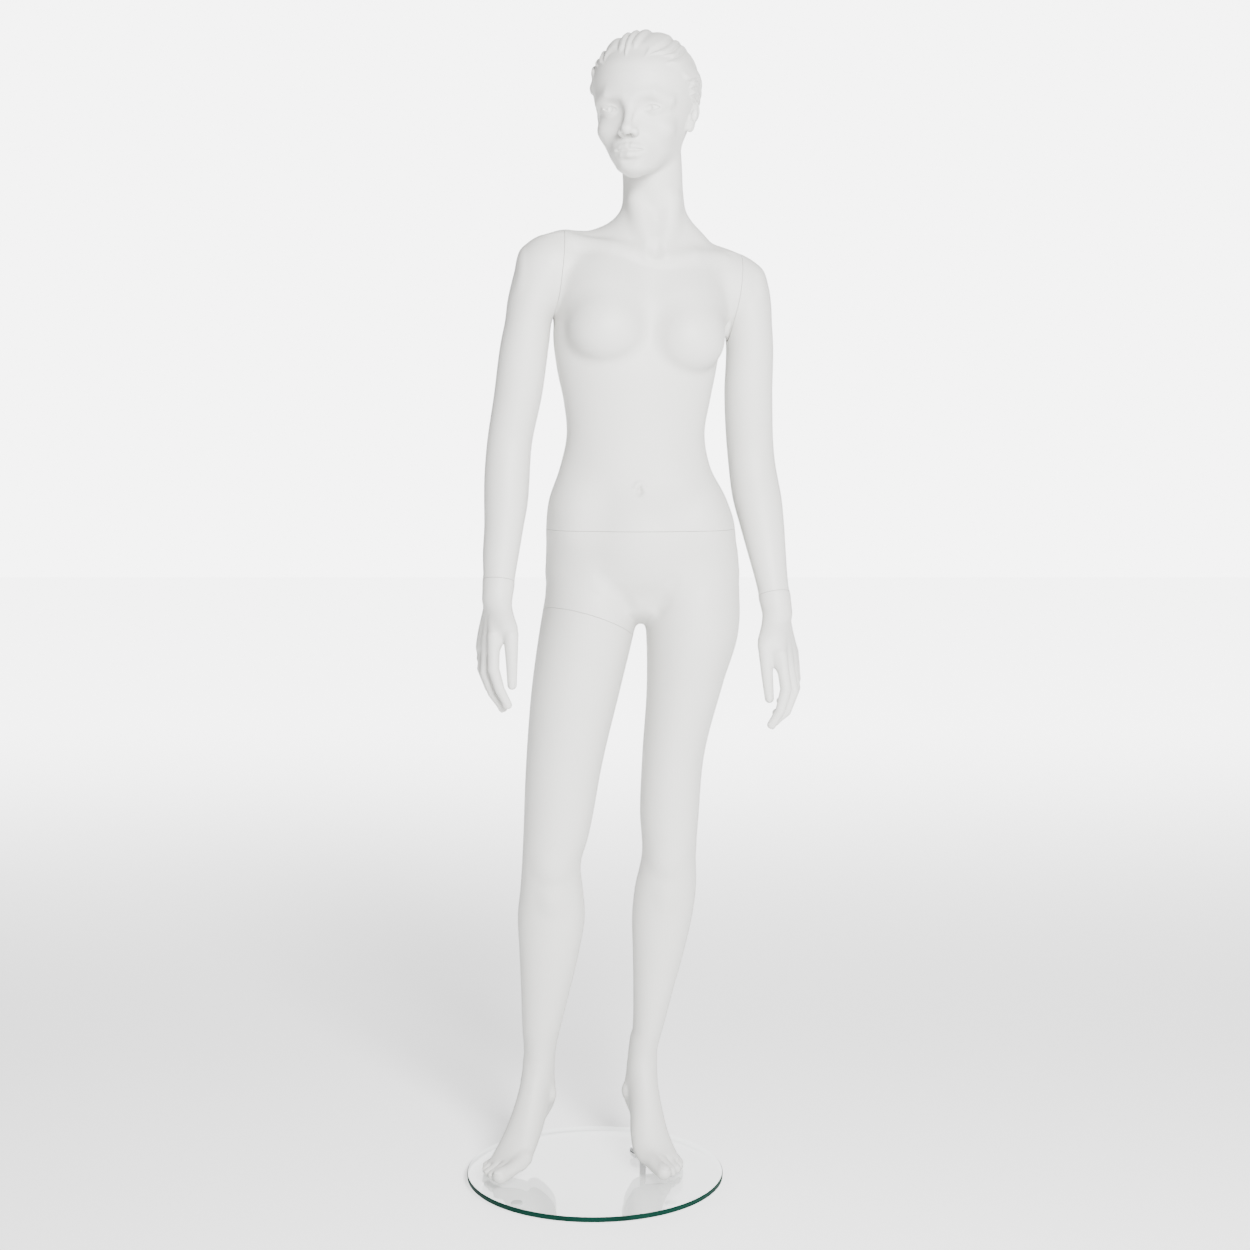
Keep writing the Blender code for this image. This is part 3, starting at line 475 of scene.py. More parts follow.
# The seam round each shoulder is cut only above these heights, on the torso and on the arm.
SHOULDER_CUT = 1.282
ARM_CUT = {"right": 1.326, "left": 1.262}
# The arms are left out of the other mouldings' field below the armpits.
ARMS_OUT = {"right_arm": WEB_Z["right"], "left_arm": WEB_Z["left"] - 0.016}


def skin_y(x, z):
    """Where the skin made so far stands at x and z, seen from the front."""
    line = np.linspace(-0.17, 0.05, 441)
    inside = BODY.read(Cloud(np.stack([np.full_like(line, x), line, np.full_like(line, z)], 1))) < 0
    return float(line[np.argmax(inside)])


def on_skin(spots, sink):
    """Points given as x, z on the front of the figure, sunk into the skin by a depth."""
    return [(x, skin_y(x, z) + sink, z) for x, z in spots]


def sculpt_trunk():
    BODY.group = "trunk"
    BODY.add(loft(TRUNK, 2.25, cap=0.02), 0.05)
    BODY.add(along_x(loft(YOKE, 2.0)), 0.035)
    # Chest: ribs, then each breast with the slope above it.
    BODY.add(blob((0.026, -0.002, 1.372), (0.062, 0.034, 0.06), 12), 0.03)
    BODY.add(blob((0.122, 0.018, 1.366), (0.06, 0.034, 0.06), 12), 0.03)
    BODY.add(blob((0.019, -0.026, 1.313), (0.056, 0.052, 0.049), 12), 0.012)
    BODY.add(blob((0.14, -0.002, 1.299), (0.056, 0.052, 0.05), 12), 0.012)
    BODY.add(blob((0.021, -0.012, 1.345), (0.05, 0.046, 0.05), 12), 0.035)
    BODY.add(blob((0.137, 0.011, 1.336), (0.05, 0.046, 0.05), 12), 0.035)
    # Belly, hip bones and navel.
    BODY.add(blob((0.068, -0.01, 1.0), (0.075, 0.06, 0.07)), 0.04)
    BODY.add(blob((-0.022, -0.01, 1.03), (0.032, 0.042, 0.055)), 0.04)
    BODY.add(blob((0.16, -0.008, 1.028), (0.032, 0.042, 0.055)), 0.04)
    (navel,) = on_skin([(0.069, 1.0775)], -0.001)
    BODY.carve(blob(navel, (0.0034, 0.0052, 0.006)), 0.007)
    BODY.add(rod(on_skin([(0.063, 1.081), (0.0655, 1.085), (0.069, 1.0865), (0.0725, 1.085),
                          (0.075, 1.081)], 0.0018), [0.0022] * 5), 0.006)


def sculpt_hips():
    BODY.add(loft(LEGS["right"], 2.0, cap=0.04), lambda z: ramp(z, 0.845, 0.93, 0.002, 0.028))
    BODY.add(loft(LEGS["left"], 2.0, cap=0.04), lambda z: ramp(z, 0.845, 0.93, 0.002, 0.028))
    for x, y, z in ((0.006, 0.082, 0.905), (0.138, 0.084, 0.908)):
        BODY.add(blob((x, y, z), (0.068, 0.06, 0.072)), 0.022)
    BODY.carve(blob((0.071, 0.16, 0.905), (0.003, 0.04, 0.062)), 0.014)
    for groin in ([(0.056, 0.896), (0.044, 0.91), (0.028, 0.928), (0.01, 0.948)],
                  [(0.09, 0.896), (0.098, 0.908), (0.108, 0.924), (0.118, 0.94)]):
        BODY.carve(rod(on_skin(groin, -0.0122), (0.008, 0.01, 0.0095, 0.008)), 0.014)
    # The flat of the crotch, between the thighs.
    BODY.add(blob((0.0735, 0.03, 0.906), (0.022, 0.06, 0.027)), 0.024)


def sculpt_neck():
    BODY.add(loft(NECK, 2.0), 0.045)
    # The two neck cords, the collar bones and the notch between them.
    cords = ([(0.064, 1.51), (0.074, 1.47), (0.088, 1.427)],
             [(0.118, 1.51), (0.113, 1.47), (0.1, 1.425)])
    bones = ([(0.075, 1.425), (0.028, 1.437), (-0.034, 1.449)],
             [(0.113, 1.42), (0.152, 1.425), (0.193, 1.426)])
    cords = [on_skin(cord, 0.0068) for cord in cords]
    bones = [on_skin(bone, 0.0062) for bone in bones]
    for cord, bone in zip(cords, bones):
        BODY.add(rod(cord, (0.009, 0.01, 0.009)), 0.018)
        BODY.add(rod(bone, (0.006, 0.009, 0.007)), 0.016)
    (notch,) = on_skin([(0.094, 1.437)], -0.006)
    BODY.carve(blob(notch, (0.007, 0.0075, 0.011)), 0.014)


def sculpt_arm(side):
    BODY.group = side + "_arm"
    BODY.add(loft(ARMS[side]), lambda z: ramp(z, 1.33, 1.38, 0.005, 0.028))
    BODY.add(blob(ELBOWS[side], (0.016, 0.014, 0.022)), 0.016)


def sculpt_leg(side):
    BODY.group = "legs"
    x, y, z = KNEES[side]
    BODY.add(blob((x, y + 0.01, z), (0.021, 0.018, 0.026)), 0.016)
    BODY.add(blob((x - 0.001, y + 0.022, z - 0.052), (0.013, 0.016, 0.024)), 0.018)
    for ankle in ANKLES[side]:
        BODY.add(blob(ankle, (0.007, 0.01, 0.012)), 0.016)


# ---------------------------------------------------------------- feet
# Instep sections, on tiptoe: x, y, z, half width, half thickness, from the ankle to the toes.
INSTEPS = metres({
    "right": [
        ((-91, 74, 160), 21.5, 28),
        ((-94.5, 60, 126), 23.5, 31),
        ((-104.5, 34, 88), 25.5, 28.5),
        ((-117.5, 6, 57), 28.5, 22.5),
        ((-130, -16, 36), 31, 16.5),
        ((-138.5, -32, 27), 30.5, 12),
    ],
    "left": [
        ((74.5, 89, 160), 20.5, 28),
        ((75.5, 75, 126), 23, 31),
        ((80.5, 52, 88), 25.5, 28.5),
        ((86, 28, 57), 30, 22.5),
        ((95, 6, 36), 32.5, 16.5),
        ((104, -10, 27), 30.5, 12),
    ],
})
HEELS = sections({
    "right": [
        (205, -88, 74, 19.5, 28, 28),
        (160, -88, 79, 20.5, 32, 31),
        (120, -87.2, 85, 22.5, 36, 34),
        (104, -86.8, 88, 23, 35, 33),
        (88, -88, 86, 20.5, 31, 30),
        (72, -93, 78, 15.5, 26, 26),
        (58, -99, 66, 10.5, 20, 20),
        (50, -101, 58, 6, 12, 12),
    ],
    "left": [
        (205, 77.5, 87, 19.5, 28, 28),
        (160, 73, 92, 20, 32, 31),
        (125, 69, 97, 22, 36, 34),
        (108, 67.2, 100, 23, 35, 33),
        (93, 67.5, 98, 21.5, 31, 30),
        (77, 70, 91, 17, 26, 26),
        (62, 71.5, 79, 12, 20, 20),
        (54, 72, 71, 6, 12, 12),
    ],
})
# Toes, big toe first: root, middle, tip and the radius of each.
TOES = metres({
    "right": [
        ((-116, -32, 31), (-131, -49, 27.5), (-145, -62, 23.2), 11.6),
        ((-122, -22, 32), (-142, -41, 30), (-157, -52, 20.5), 7.6),
        ((-134, -15, 31), (-151, -29, 29), (-164, -38, 20), 7.2),
        ((-144, -8, 29), (-158, -17, 27.5), (-168, -23, 19.5), 7),
        ((-152, 0, 27), (-161, -4, 25.5), (-168, -6, 19.5), 6.6),
    ],
    "left": [
        ((83, -6, 31), (95, -28, 27.5), (107, -45, 23.2), 11.6),
        ((91, 4, 32), (107, -18, 30), (119, -34, 20.5), 7.6),
        ((102, 10, 31), (116, -8, 29), (127, -21, 20), 7.2),
        ((111, 16, 29), (123, 3, 27.5), (131, -6, 19.5), 7),
        ((119, 22, 27), (127, 15, 25.5), (132, 9, 19.5), 6.6),
    ],
})
# A nail's half width, length and thickness, and how far it stands up and back, in digit radii.
NAIL = (0.62, 0.95, 0.34)
NAIL_UP, NAIL_BACK = 0.8, 0.1


def placed_on(side, ahead, up, origin):
    """The frame with these three axes at a point."""
    place = Matrix((side, ahead, up)).transposed().to_4x4()
    place.translation = origin
    return place


def oval_path(stations, across, cap=0.01):
    """A form through oval sections along a nearly straight path, wide along one direction."""
    points = np.array([s[0] for s in stations])
    ends = Vector(points[-1]) - Vector(points[0])
    down = ends.normalized()
    side = Vector(across)
    side = (side - down * side.dot(down)).normalized()
    place = placed_on(side, down.cross(side), down, points[0])
    back = place.inverted()
    rows = []
    for point, half_width, half_thick in stations:
        u, v, w = back @ Vector(point)
        rows.append((w, u, v, half_width, half_thick, half_thick, 0))
    return turned(loft(rows, 2.2, cap), place)


def nail(tip, root, up, radius):
    """The flat of a nail: a shallow oval laid on the back of a digit's end."""
    tip, root, up = Vector(tip), Vector(root), Vector(up).normalized()
    ahead = (tip - root).normalized()
    up = (up - ahead * up.dot(ahead)).normalized()
    middle = tip + up * radius * NAIL_UP - ahead * radius * NAIL_BACK
    return turned(blob((0, 0, 0), [radius * share for share in NAIL]),
                  placed_on(ahead.cross(up), ahead, up, middle))


def sculpt_foot(side):
    heading = Vector(TOES[side][0][2]) - Vector(INSTEPS[side][0][0])
    across = Vector((heading.y, -heading.x, 0)).normalized()
    BODY.add(oval_path(INSTEPS[side], across), 0.008)
    BODY.add(loft(HEELS[side], 2.0, cap=0.012), 0.01)
    for number, (root, middle, tip, radius) in enumerate(TOES[side]):
        soft = 0.004 if number else 0.006
        root, middle, tip = Vector(root), Vector(middle), Vector(tip)
        behind = root + (root - middle) * 0.45 + Vector((0, 0, 0.006))
        BODY.add(rod((behind, root + Vector((0, 0, 0.003)), middle, tip),
                     (radius, radius, radius * 0.95, radius * 1.02)), soft)
        BODY.add(nail(tip, middle, (0, 0, 1), radius), 0.0012)


# ---------------------------------------------------------------- hands
PALM_ACROSS = {"right": (-0.45, 0.89, 0.0), "left": (0.42, 0.91, 0.0)}
PALMS = metres({
    "right": [
        ((-143.4, -31, 939.6), 22.8, 21.2),
        ((-146.4, -41, 906), 21.2, 18),
        ((-150, -46, 878), 34.5, 16.5),
        ((-157, -49, 848), 37.5, 12.5),
        ((-161, -51, 835), 35, 10),
    ],
    "left": [
        ((276.6, 29, 914.6), 23.6, 22),
        ((282.3, 18, 879), 21.4, 18),
        ((286, 11, 848), 34.5, 17),
        ((293, 5, 812), 37.5, 12.5),
        ((296, 3, 799), 35, 10),
    ],
})
# Digits, thumb first: the joints from root to tip, then the radius at the root and at the tip.
DIGITS = metres({
    "right": [
        (((-141, -50, 897), (-123, -80, 862), (-121.5, -89, 824),
          (-121, -92, 789)), 12.5, 7),
        (((-149, -76, 862), (-149, -83, 812), (-140, -85, 782),
          (-128, -83, 758)), 9.2, 6.4),
        (((-157, -58, 858), (-162, -63, 804), (-152, -66, 774),
          (-136, -66, 751)), 9.2, 6.4),
        (((-163, -38, 858), (-168, -43, 808), (-158, -46, 780),
          (-143, -47, 757)), 8.8, 6.1),
        (((-167, -19, 860), (-171, -23, 821), (-164, -26, 800),
          (-152, -28, 782)), 7.8, 5.5),
    ],
    "left": [
        (((274, 10, 868), (260.5, -16, 838), (263, -23, 796),
          (266.5, -26, 760)), 12.5, 7),
        (((284, -22, 828), (291, -34, 775), (282, -38, 742),
          (269, -36, 721)), 9.2, 6.4),
        (((293, -4, 824), (304, -13, 770), (293, -18, 739),
          (276, -18, 724)), 9.2, 6.4),
        (((301, 15, 824), (308, 8, 772), (296, 3, 744),
          (279, 1, 734)), 8.8, 6.1),
        (((307, 33, 826), (311, 28, 783), (300, 23, 760),
          (286, 20, 750)), 7.8, 5.5),
    ],
})
KNUCKLE = 1.06      # how much the middle knuckle thickens a digit


def sculpt_hand(side):
    across = Vector(PALM_ACROSS[side])
    BODY.add(oval_path(PALMS[side], across), 0.008)
    outward = Vector((-1, 0, 0)) if side == "right" else Vector((1, 0, 0))
    for number, (joints, root_r, tip_r) in enumerate(DIGITS[side]):
        radii = [root_r + (tip_r - root_r) * i / 3 for i in range(4)]
        radii[1] *= KNUCKLE
        root, centre = Vector(joints[0]), Vector(PALMS[side][2][0])
        inside = root.lerp(centre, 0.45) + Vector((0, 0, 0.012))
        BODY.add(rod((inside, *joints), (root_r * 0.75, *radii)), 0.01 if number == 0 else 0.007)
        back = Vector((0, -1, 0)) if number == 0 else outward - Vector((0, 0, 0.6))
        BODY.add(nail(joints[3], joints[2], back, tip_r), 0.001)
    # The ball of the thumb and the heel of the palm.
    thumb = [Vector(p) for p in DIGITS[side][0][0]]
    BODY.add(rod((thumb[0] + Vector((0, 0, 0.006)), (thumb[0] + thumb[1] * 2) / 3),
                 (0.014, 0.0125)), 0.012)


# ---------------------------------------------------------------- head, modelled facing -Y
NECK_SPLIT = 1.5      # the torso's moulding is stored as two meshes that meet here
HEAD_AT = (0.0775, 0.019)
HEAD_YAW = -16.0
HEAD = Matrix.Translation((*HEAD_AT, 0.0)) @ Matrix.Rotation(math.radians(HEAD_YAW), 4, "Z")
# z, foremost y, rearmost y, half width.
HEAD_LEVELS = metres([
    (1540, -66, -50, 12),
    (1548, -79, -22, 25.5),
    (1557, -82.5, 0, 33.5),
    (1568, -83, 16, 42),
    (1580, -83.5, 32, 49),
    (1596, -84, 52, 56),
    (1612, -84, 70, 62.5),
    (1630, -84, 84, 68),
    (1650, -89, 92, 71),
    (1670, -91.5, 96, 73.5),
    (1690, -90, 95, 73),
    (1708, -80, 86, 65),
    (1722, -56, 64, 46),
    (1730, -36, 44, 26),
])
CRANIUM = ((0, 0.004, 1.68), (0.0745, 0.0925, 0.0765))
EYE = (0.0305, -0.0657, 1.635)
EYE_R = 0.0121
LID_R = 0.0142
LID_STRETCH = 1.2      # the lids are wider than they are high
LID_TILT = 0.1         # rise of the eye's outer corner per metre of width
EYE_HALF_WIDTH = 0.0143
UPPER_OPENING, LOWER_OPENING = 0.0056, 0.0042
MOUTH_Z = 1.5745


def on_head(form):
    return turned(form, HEAD)


def pair(make):
    """The same form on the left and on the right of the head."""
    return [on_head(make(1)), on_head(make(-1))]


def sculpt_head():
    BODY.group = "head"
    rows = []
    for z, front, back, half in HEAD_LEVELS:
        middle = (front + back) / 2
        rows.append((z, 0.0, middle, half, middle - front, back - middle, 0))
    BODY.add(on_head(loft(rows, 2.15)), 0.017)
    BODY.add(on_head(blob(*CRANIUM)), 0.016)
    sculpt_face()
    sculpt_eyes()
    sculpt_mouth()


def sculpt_face():
    # Brow, cheekbones and chin.
    for form in pair(lambda s: rod(((s * 0.01, -0.086, 1.65), (s * 0.034, -0.081, 1.654),
                                    (s * 0.052, -0.062, 1.646)), (0.006, 0.0065, 0.006))):
        BODY.add(form, 0.016)
    for form in pair(lambda s: blob((s * 0.041, -0.056, 1.607), (0.014, 0.014, 0.012))):
        BODY.add(form, 0.022)
    BODY.add(on_head(blob((0, -0.07, 1.5525), (0.015, 0.016, 0.0115))), 0.016)
    # Eye sockets.
    for form in pair(lambda s: blob((s * 0.029, -0.096, 1.635), (0.0165, 0.015, 0.012))):
        BODY.carve(form, 0.014)
    # Nose: bridge, tip, wings and nostrils.
    BODY.add(on_head(rod(((0, -0.083, 1.648), (0, -0.09, 1.63), (0, -0.101, 1.606)),
                         (0.006, 0.0058, 0.0062))), 0.012)
    BODY.add(on_head(blob((0, -0.101, 1.603), (0.0082, 0.0085, 0.0078))), 0.006)
    for form in pair(lambda s: blob((s * 0.01, -0.092, 1.6), (0.0062, 0.0085, 0.0062))):
        BODY.add(form, 0.005)
    for form in pair(lambda s: blob((s * 0.0058, -0.0955, 1.5945), (0.003, 0.0052, 0.0036))):
        BODY.carve(form, 0.002)


def sculpt_eyes():
    x, y, z = EYE
    for s in (1, -1):
        BODY.add(on_head(blob((s * x, y, z), (EYE_R * 1.15, EYE_R, EYE_R))), 0.0015)
        BODY.add(on_head(lid(s, 1, UPPER_OPENING)), 0.0034)
        BODY.add(on_head(lid(s, -1, LOWER_OPENING)), 0.0034)
        iris = (s * x - 0.0008, y - EYE_R - 0.0012, z + 0.0006)
        BODY.carve(on_head(blob(iris, (0.0044, 0.0028, 0.0044))), 0.0006)


def lid(s, side, opening):
    """The upper or the lower lid: a shell round the eyeball, open along a bowed edge."""
    x, y, z = EYE

    def distance(px, py, pz):
        u, v, w = px - s * x, py - y, pz - z
        shell = np.sqrt((u / LID_STRETCH) ** 2 + v * v + w * w) - LID_R
        bow = opening * (1 - (u / EYE_HALF_WIDTH) ** 2)
        return meet(shell, bow - side * (w - LID_TILT * s * u), 0.0008)
    reach = LID_R * LID_STRETCH
    middle = np.array((s * x, y, z))
    return Form(middle - reach, middle + reach, distance)


def sculpt_mouth():
    z = MOUTH_Z
    BODY.add(on_head(blob((0, -0.0745, z + 0.002), (0.026, 0.0145, 0.017))), 0.014)
    for s in (1, -1):
        BODY.add(on_head(rod(((s * 0.0038, -0.0893, z + 0.0058), (s * 0.013, -0.0866, z + 0.0044),
                              (s * 0.0215, -0.0802, z + 0.0014), (s * 0.028, -0.0732, z - 0.0004)),
                             (0.0042, 0.0039, 0.0027, 0.0012))), 0.004)
        BODY.add(on_head(rod(((0, -0.0892, z - 0.0072), (s * 0.01, -0.0868, z - 0.0064),
                              (s * 0.019, -0.0806, z - 0.003), (s * 0.0265, -0.0736, z - 0.0008)),
                             (0.0061, 0.0058, 0.0037, 0.0013))), 0.004)
    BODY.carve(on_head(rod(((-0.02, -0.0846, z - 0.0001), (-0.011, -0.0912, z + 0.0006),
                            (0, -0.0944, z - 0.001), (0.011, -0.0912, z + 0.0006),
                            (0.02, -0.0846, z - 0.0001)),
                           (0.0006, 0.001, 0.0012, 0.001, 0.0006))), 0.0026)
    BODY.carve(on_head(blob((0, -0.0965, z + 0.015), (0.0028, 0.0045, 0.0062))), 0.005)
    BODY.carve(on_head(blob((0, -0.0955, z - 0.018), (0.015, 0.008, 0.0045))), 0.008)


# The groove inside the ear's rim: out from the head, back, up.
EAR_GROOVE = [(0.0082, 0.013, 0.019), (0.0082, 0.018, 0.0165), (0.0084, 0.0205, 0.01),
              (0.0084, 0.02, 0.001)]


def sculpt_ear(s):
    """An ear: an egg shaped dish with a lobe, a groove inside its rim, a bowl and a tragus."""
    place = (HEAD @ Matrix.Translation((s * 0.064, -0.004, 1.635))
             @ Matrix.Rotation(math.radians(-s * 23), 4, "Z")
             @ Matrix.Rotation(math.radians(-8), 4, "X"))

    def put(form):
        return turned(form, place)
    BODY.add(put(blob((s * 0.0015, 0.013, 0.008), (0.0068, 0.015, 0.0185))), 0.002)
    BODY.add(put(blob((s * 0.003, 0.0085, -0.015), (0.005, 0.0085, 0.0105))), 0.008)
    groove = [(s * u, v, w) for u, v, w in EAR_GROOVE]
    BODY.carve(put(rod(groove, (0.0014, 0.002, 0.0021, 0.0014))), 0.0018)
    BODY.carve(put(blob((s * 0.0092, 0.01, -0.0005), (0.005, 0.0052, 0.009))), 0.0024)
    BODY.add(put(blob((s * 0.0052, 0.002, -0.0045), (0.003, 0.003, 0.0046))), 0.003)


HAIR_CENTRE_Z = 1.665
HAIR_LINE = [       # degrees round from the top, then how far back from the face it starts
    (0, 33), (25, 34), (50, 42), (75, 58), (95, 76), (112, 98), (128, 118), (150, 130), (180, 136),
]


def hair_height(x, y, z):
    """Combed back clumps: how far the hair stands out from the skull."""
    up, out = z - HAIR_CENTRE_Z, -y
    around = np.degrees(np.arctan2(x, up))
    radius = np.sqrt(x * x + y * y + up * up) + 1e-6
    back = np.degrees(np.arccos(np.clip(out / radius, -1, 1)))
    start = np.interp(np.abs(around), *np.array(HAIR_LINE, float).T)
    wave = 5.0 * np.sin(np.radians(back * 4.2 + around * 0.9))
    strand = (around + wave * np.clip(np.abs(around) / 40, 0.3, 1)) / 13.0
    strand = strand + 0.35 * np.sin(strand * 1.7 + 1.0)
    ridge = np.sin(np.pi * strand) ** 2
    clump = ridge * (1.6 - 0.6 * ridge)
    fine = np.sin(2 * np.pi * strand + 0.6) ** 2
    ragged = 5.0 * np.sin(strand * 2.3) + 3.0 * np.sin(strand * 5.1 + 1.3)
    grown = ramp(back, start + ragged, start + ragged + 9.0, 0.0, 1.0)
    narrow = np.clip(1.25 * np.sin(np.radians(back)), 0.4, 1.0)
    bulk = 0.0008 + (0.0034 * clump + 0.0005 * fine) * narrow
    return grown * bulk * ramp(radius, 0.05, 0.07, 0.0, 1.0)


def sculpt_hair():
    form = turned(Form((-0.085, -0.1, 1.575), (0.085, 0.11, 1.775), hair_height), HEAD)
    BODY.raise_by(form.low, form.high, form.distance)


def sculpt_body():
    sculpt_trunk()
    sculpt_hips()
    sculpt_neck()
    for side in ("right", "left"):
        sculpt_arm(side)
        sculpt_hand(side)
        sculpt_leg(side)
        sculpt_foot(side)
    sculpt_head()
    sculpt_hair()
    for side in (1, -1):
        sculpt_ear(side)


# ---------------------------------------------------------------- from field to mesh
def skin(grid, field):
    """Surface nets: one vertex in each cell that the surface crosses, joined by quads."""
    inside = field < 0
    count = np.array(field.shape)
    cell_ids, spots, edges = [], [], []
    for axis in range(3):
        low, high = [slice(None)] * 3, [slice(None)] * 3
        low[axis], high[axis] = slice(0, -1), slice(1, None)
        at = np.argwhere(inside[tuple(low)] != inside[tuple(high)])
        ahead = at.copy()
        ahead[:, axis] += 1
        near, far = field[tuple(at.T)], field[tuple(ahead.T)]
        spot = at.astype(float)
        spot[:, axis] += near / (near - far)
        u, v = (axis + 1) % 3, (axis + 2) % 3
        ring = []
        for du, dv in ((0, 0), (1, 0), (1, 1), (0, 1)):
            cell = at.copy()
            cell[:, u] -= du
            cell[:, v] -= dv
            valid = (cell >= 0).all(1) & (cell < count - 1).all(1)
            ring.append(np.where(valid, np.ravel_multi_index(np.maximum(cell, 0).T, count), -1))
        ring = np.array(ring).T
        cell_ids.append(ring)
        spots.append(spot)
        edges.append(inside[tuple(at.T)])
    rings, spots, edges = np.concatenate(cell_ids), np.concatenate(spots), np.concatenate(edges)
    known = rings[rings >= 0]
    ids, place = np.unique(known, return_inverse=True)
    weights = np.bincount(place)
    owner = np.repeat(np.arange(len(rings)), 4)[rings.ravel() >= 0]
    index = np.stack([np.bincount(place, spots[owner, k]) / weights for k in range(3)], axis=1)
    whole = (rings >= 0).all(1)
    faces = np.searchsorted(ids, rings[whole])
    faces[~edges[whole]] = faces[~edges[whole]][:, ::-1]
    return grid.place(index), faces


def slope(points):
    """The field's gradient at loose points."""
    parts = []
    for offset in np.eye(3) * SLOPE_STEP:
        parts.append((BODY.read(Cloud(points + offset)) - BODY.read(Cloud(points - offset)))
                     / (2 * SLOPE_STEP))
    return np.stack(parts, axis=1)


def settle(points, limit):
    """Move points onto the surface."""
    for _ in range(2):
        away = BODY.read(Cloud(points))
        gradient = slope(points)
        square = np.maximum((gradient ** 2).sum(1), 0.2)
        shift = np.clip(away / square, -limit, limit)
        points = points - gradient * shift[:, None]
    return points


def seam(joint, outward):
    """A seam's point and the unit normal that leads out of the moulding being cut."""
    record = JOINTS[joint]
    return Vector(record["pos_m"]), Vector(record["axis"]).normalized() * outward


def cut_open(bm, point, normal, region):
    """Cut away the skin beyond a seam, inside a region, and return the plane of the cut."""
    faces = [f for f in bm.faces if region(f.calc_center_median())]
    edges = {e for f in faces for e in f.edges}
    verts = {v for f in faces for v in f.verts}
    near = point - normal * (SEAM_GAP / 2 + SEAM_ROUND)
    bmesh.ops.bisect_plane(bm, geom=[*verts, *edges, *faces], plane_co=near, plane_no=normal,
                           clear_outer=True, dist=CUT_SNAP)
    return near, normal


def keep_piece_at(bm, spot):
    """Delete every part of the mesh that isn't connected to the vertex nearest to a point."""
    start = min(bm.verts, key=lambda v: (v.co - spot).length_squared)
    found, edge = {start}, [start]
    while edge:
        vert = edge.pop()
        for link in vert.link_edges:
            other = link.other_vert(vert)
            if other not in found:
                found.add(other)
                edge.append(other)
    bmesh.ops.delete(bm, geom=[v for v in bm.verts if v not in found], context="VERTS")


def wall_at(bm, near, normal):
    """Give an open cut its rounded edge, the face of the wall and the wall's inside."""
    rim = [e for e in bm.edges if e.is_boundary
           and all(abs((v.co - near).dot(normal)) < ON_CUT for v in e.verts)]
    ring = {v for e in rim for v in e.verts}
    if not ring:
        return
    middle = sum((v.co for v in ring), Vector()) / len(ring)
    moves = ((SEAM_ROUND * 0.3, SEAM_ROUND * 0.7), (SEAM_ROUND, SEAM_ROUND),
             (LIP_WIDTH, 0.0), (0.0, -LIP_DEPTH))
    done_in, done_out = 0.0, 0.0
    for inward, outward in moves:
        step_in = inward - done_in if inward > done_in else 0.0
        step_out = outward - done_out if outward > done_out else min(outward, 0.0)
        made = bmesh.ops.extrude_edge_only(bm, edges=rim)["geom"]
        for vert in (g for g in made if isinstance(g, bmesh.types.BMVert)):
            toward = middle - vert.co
            toward -= normal * toward.dot(normal)
            vert.co += toward.normalized() * step_in + normal * step_out
        for face in (g for g in made if isinstance(g, bmesh.types.BMFace)):
            face.tag = True
        rim = [g for g in made if isinstance(g, bmesh.types.BMEdge) and g.is_boundary]
        done_in, done_out = max(done_in, inward), max(done_out, outward)


def refine(bm, boxes):
    """Halve the faces inside the given boxes and lay the new points on the surface."""
    for low, high in boxes:
        low, high = Vector(low), Vector(high)
        faces = [f for f in bm.faces
                 if all(a < c < b for a, c, b in zip(low, f.calc_center_median(), high))]
        edges = list({e for f in faces for e in f.edges})
        made = bmesh.ops.subdivide_edges(bm, edges=edges, cuts=1, use_grid_fill=True)
        verts = [g for g in made["geom"] if isinstance(g, bmesh.types.BMVert)]
        if verts:
            placed = settle(np.array([v.co for v in verts], float), 0.001)
            for vert, spot in zip(verts, placed):
                vert.co = spot


def moulding(name, grid, cuts, keep, body, node, left_out, fine=(), split=None):
    """Mesh one moulding from the body's field, cut it along its seams and place it."""
    BODY.left_out_below = left_out
    points, faces = skin(grid, BODY.read(grid))
    points = settle(points, grid.cells.min() * 0.5)
    mesh = bpy.data.meshes.new(name)
    mesh.from_pydata(points.tolist(), [], faces.tolist())
    bm = bmesh.new()
    bm.from_mesh(mesh)
    bpy.data.meshes.remove(mesh)
    refine(bm, fine)
    planes = [cut_open(bm, *cut) for cut in cuts]
    keep_piece_at(bm, Vector(keep))
    bmesh.ops.recalc_face_normals(bm, faces=bm.faces)
    for face in bm.faces:
        face.tag = False
    for near, normal in planes:
        wall_at(bm, near, normal)
    bmesh.ops.recalc_face_normals(bm, faces=bm.faces)
    if split is None:
        place_skin(name, bm, body, node)
        return
    bmesh.ops.bisect_plane(bm, geom=[*bm.verts, *bm.edges, *bm.faces], plane_co=(0, 0, split),
                           plane_no=(0, 0, 1), dist=CUT_SNAP)
    upper = bm.copy()
    for half, above in ((bm, False), (upper, True)):
        gone = [f for f in half.faces if (f.calc_center_median().z > split) != above]
        bmesh.ops.delete(half, geom=gone, context="FACES")
    place_skin(name, bm, body, node)
    place_skin(name + "_above", upper, body, node)


def place_skin(name, bm, body, node):
    """Store a moulding's mesh, shaded, on the body that carries it."""
    walls = np.array([face.tag for face in bm.faces])
    mesh = bpy.data.meshes.new(name)
    bm.to_mesh(mesh)
    bm.free()
    mesh.shade_smooth()
    field_normals(mesh, walls)
    made = bpy.data.objects.new(name, mesh)
    bpy.context.scene.collection.objects.link(made)
    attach(made, body)
    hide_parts(node)
    mesh.materials.append(FIBREGLASS)


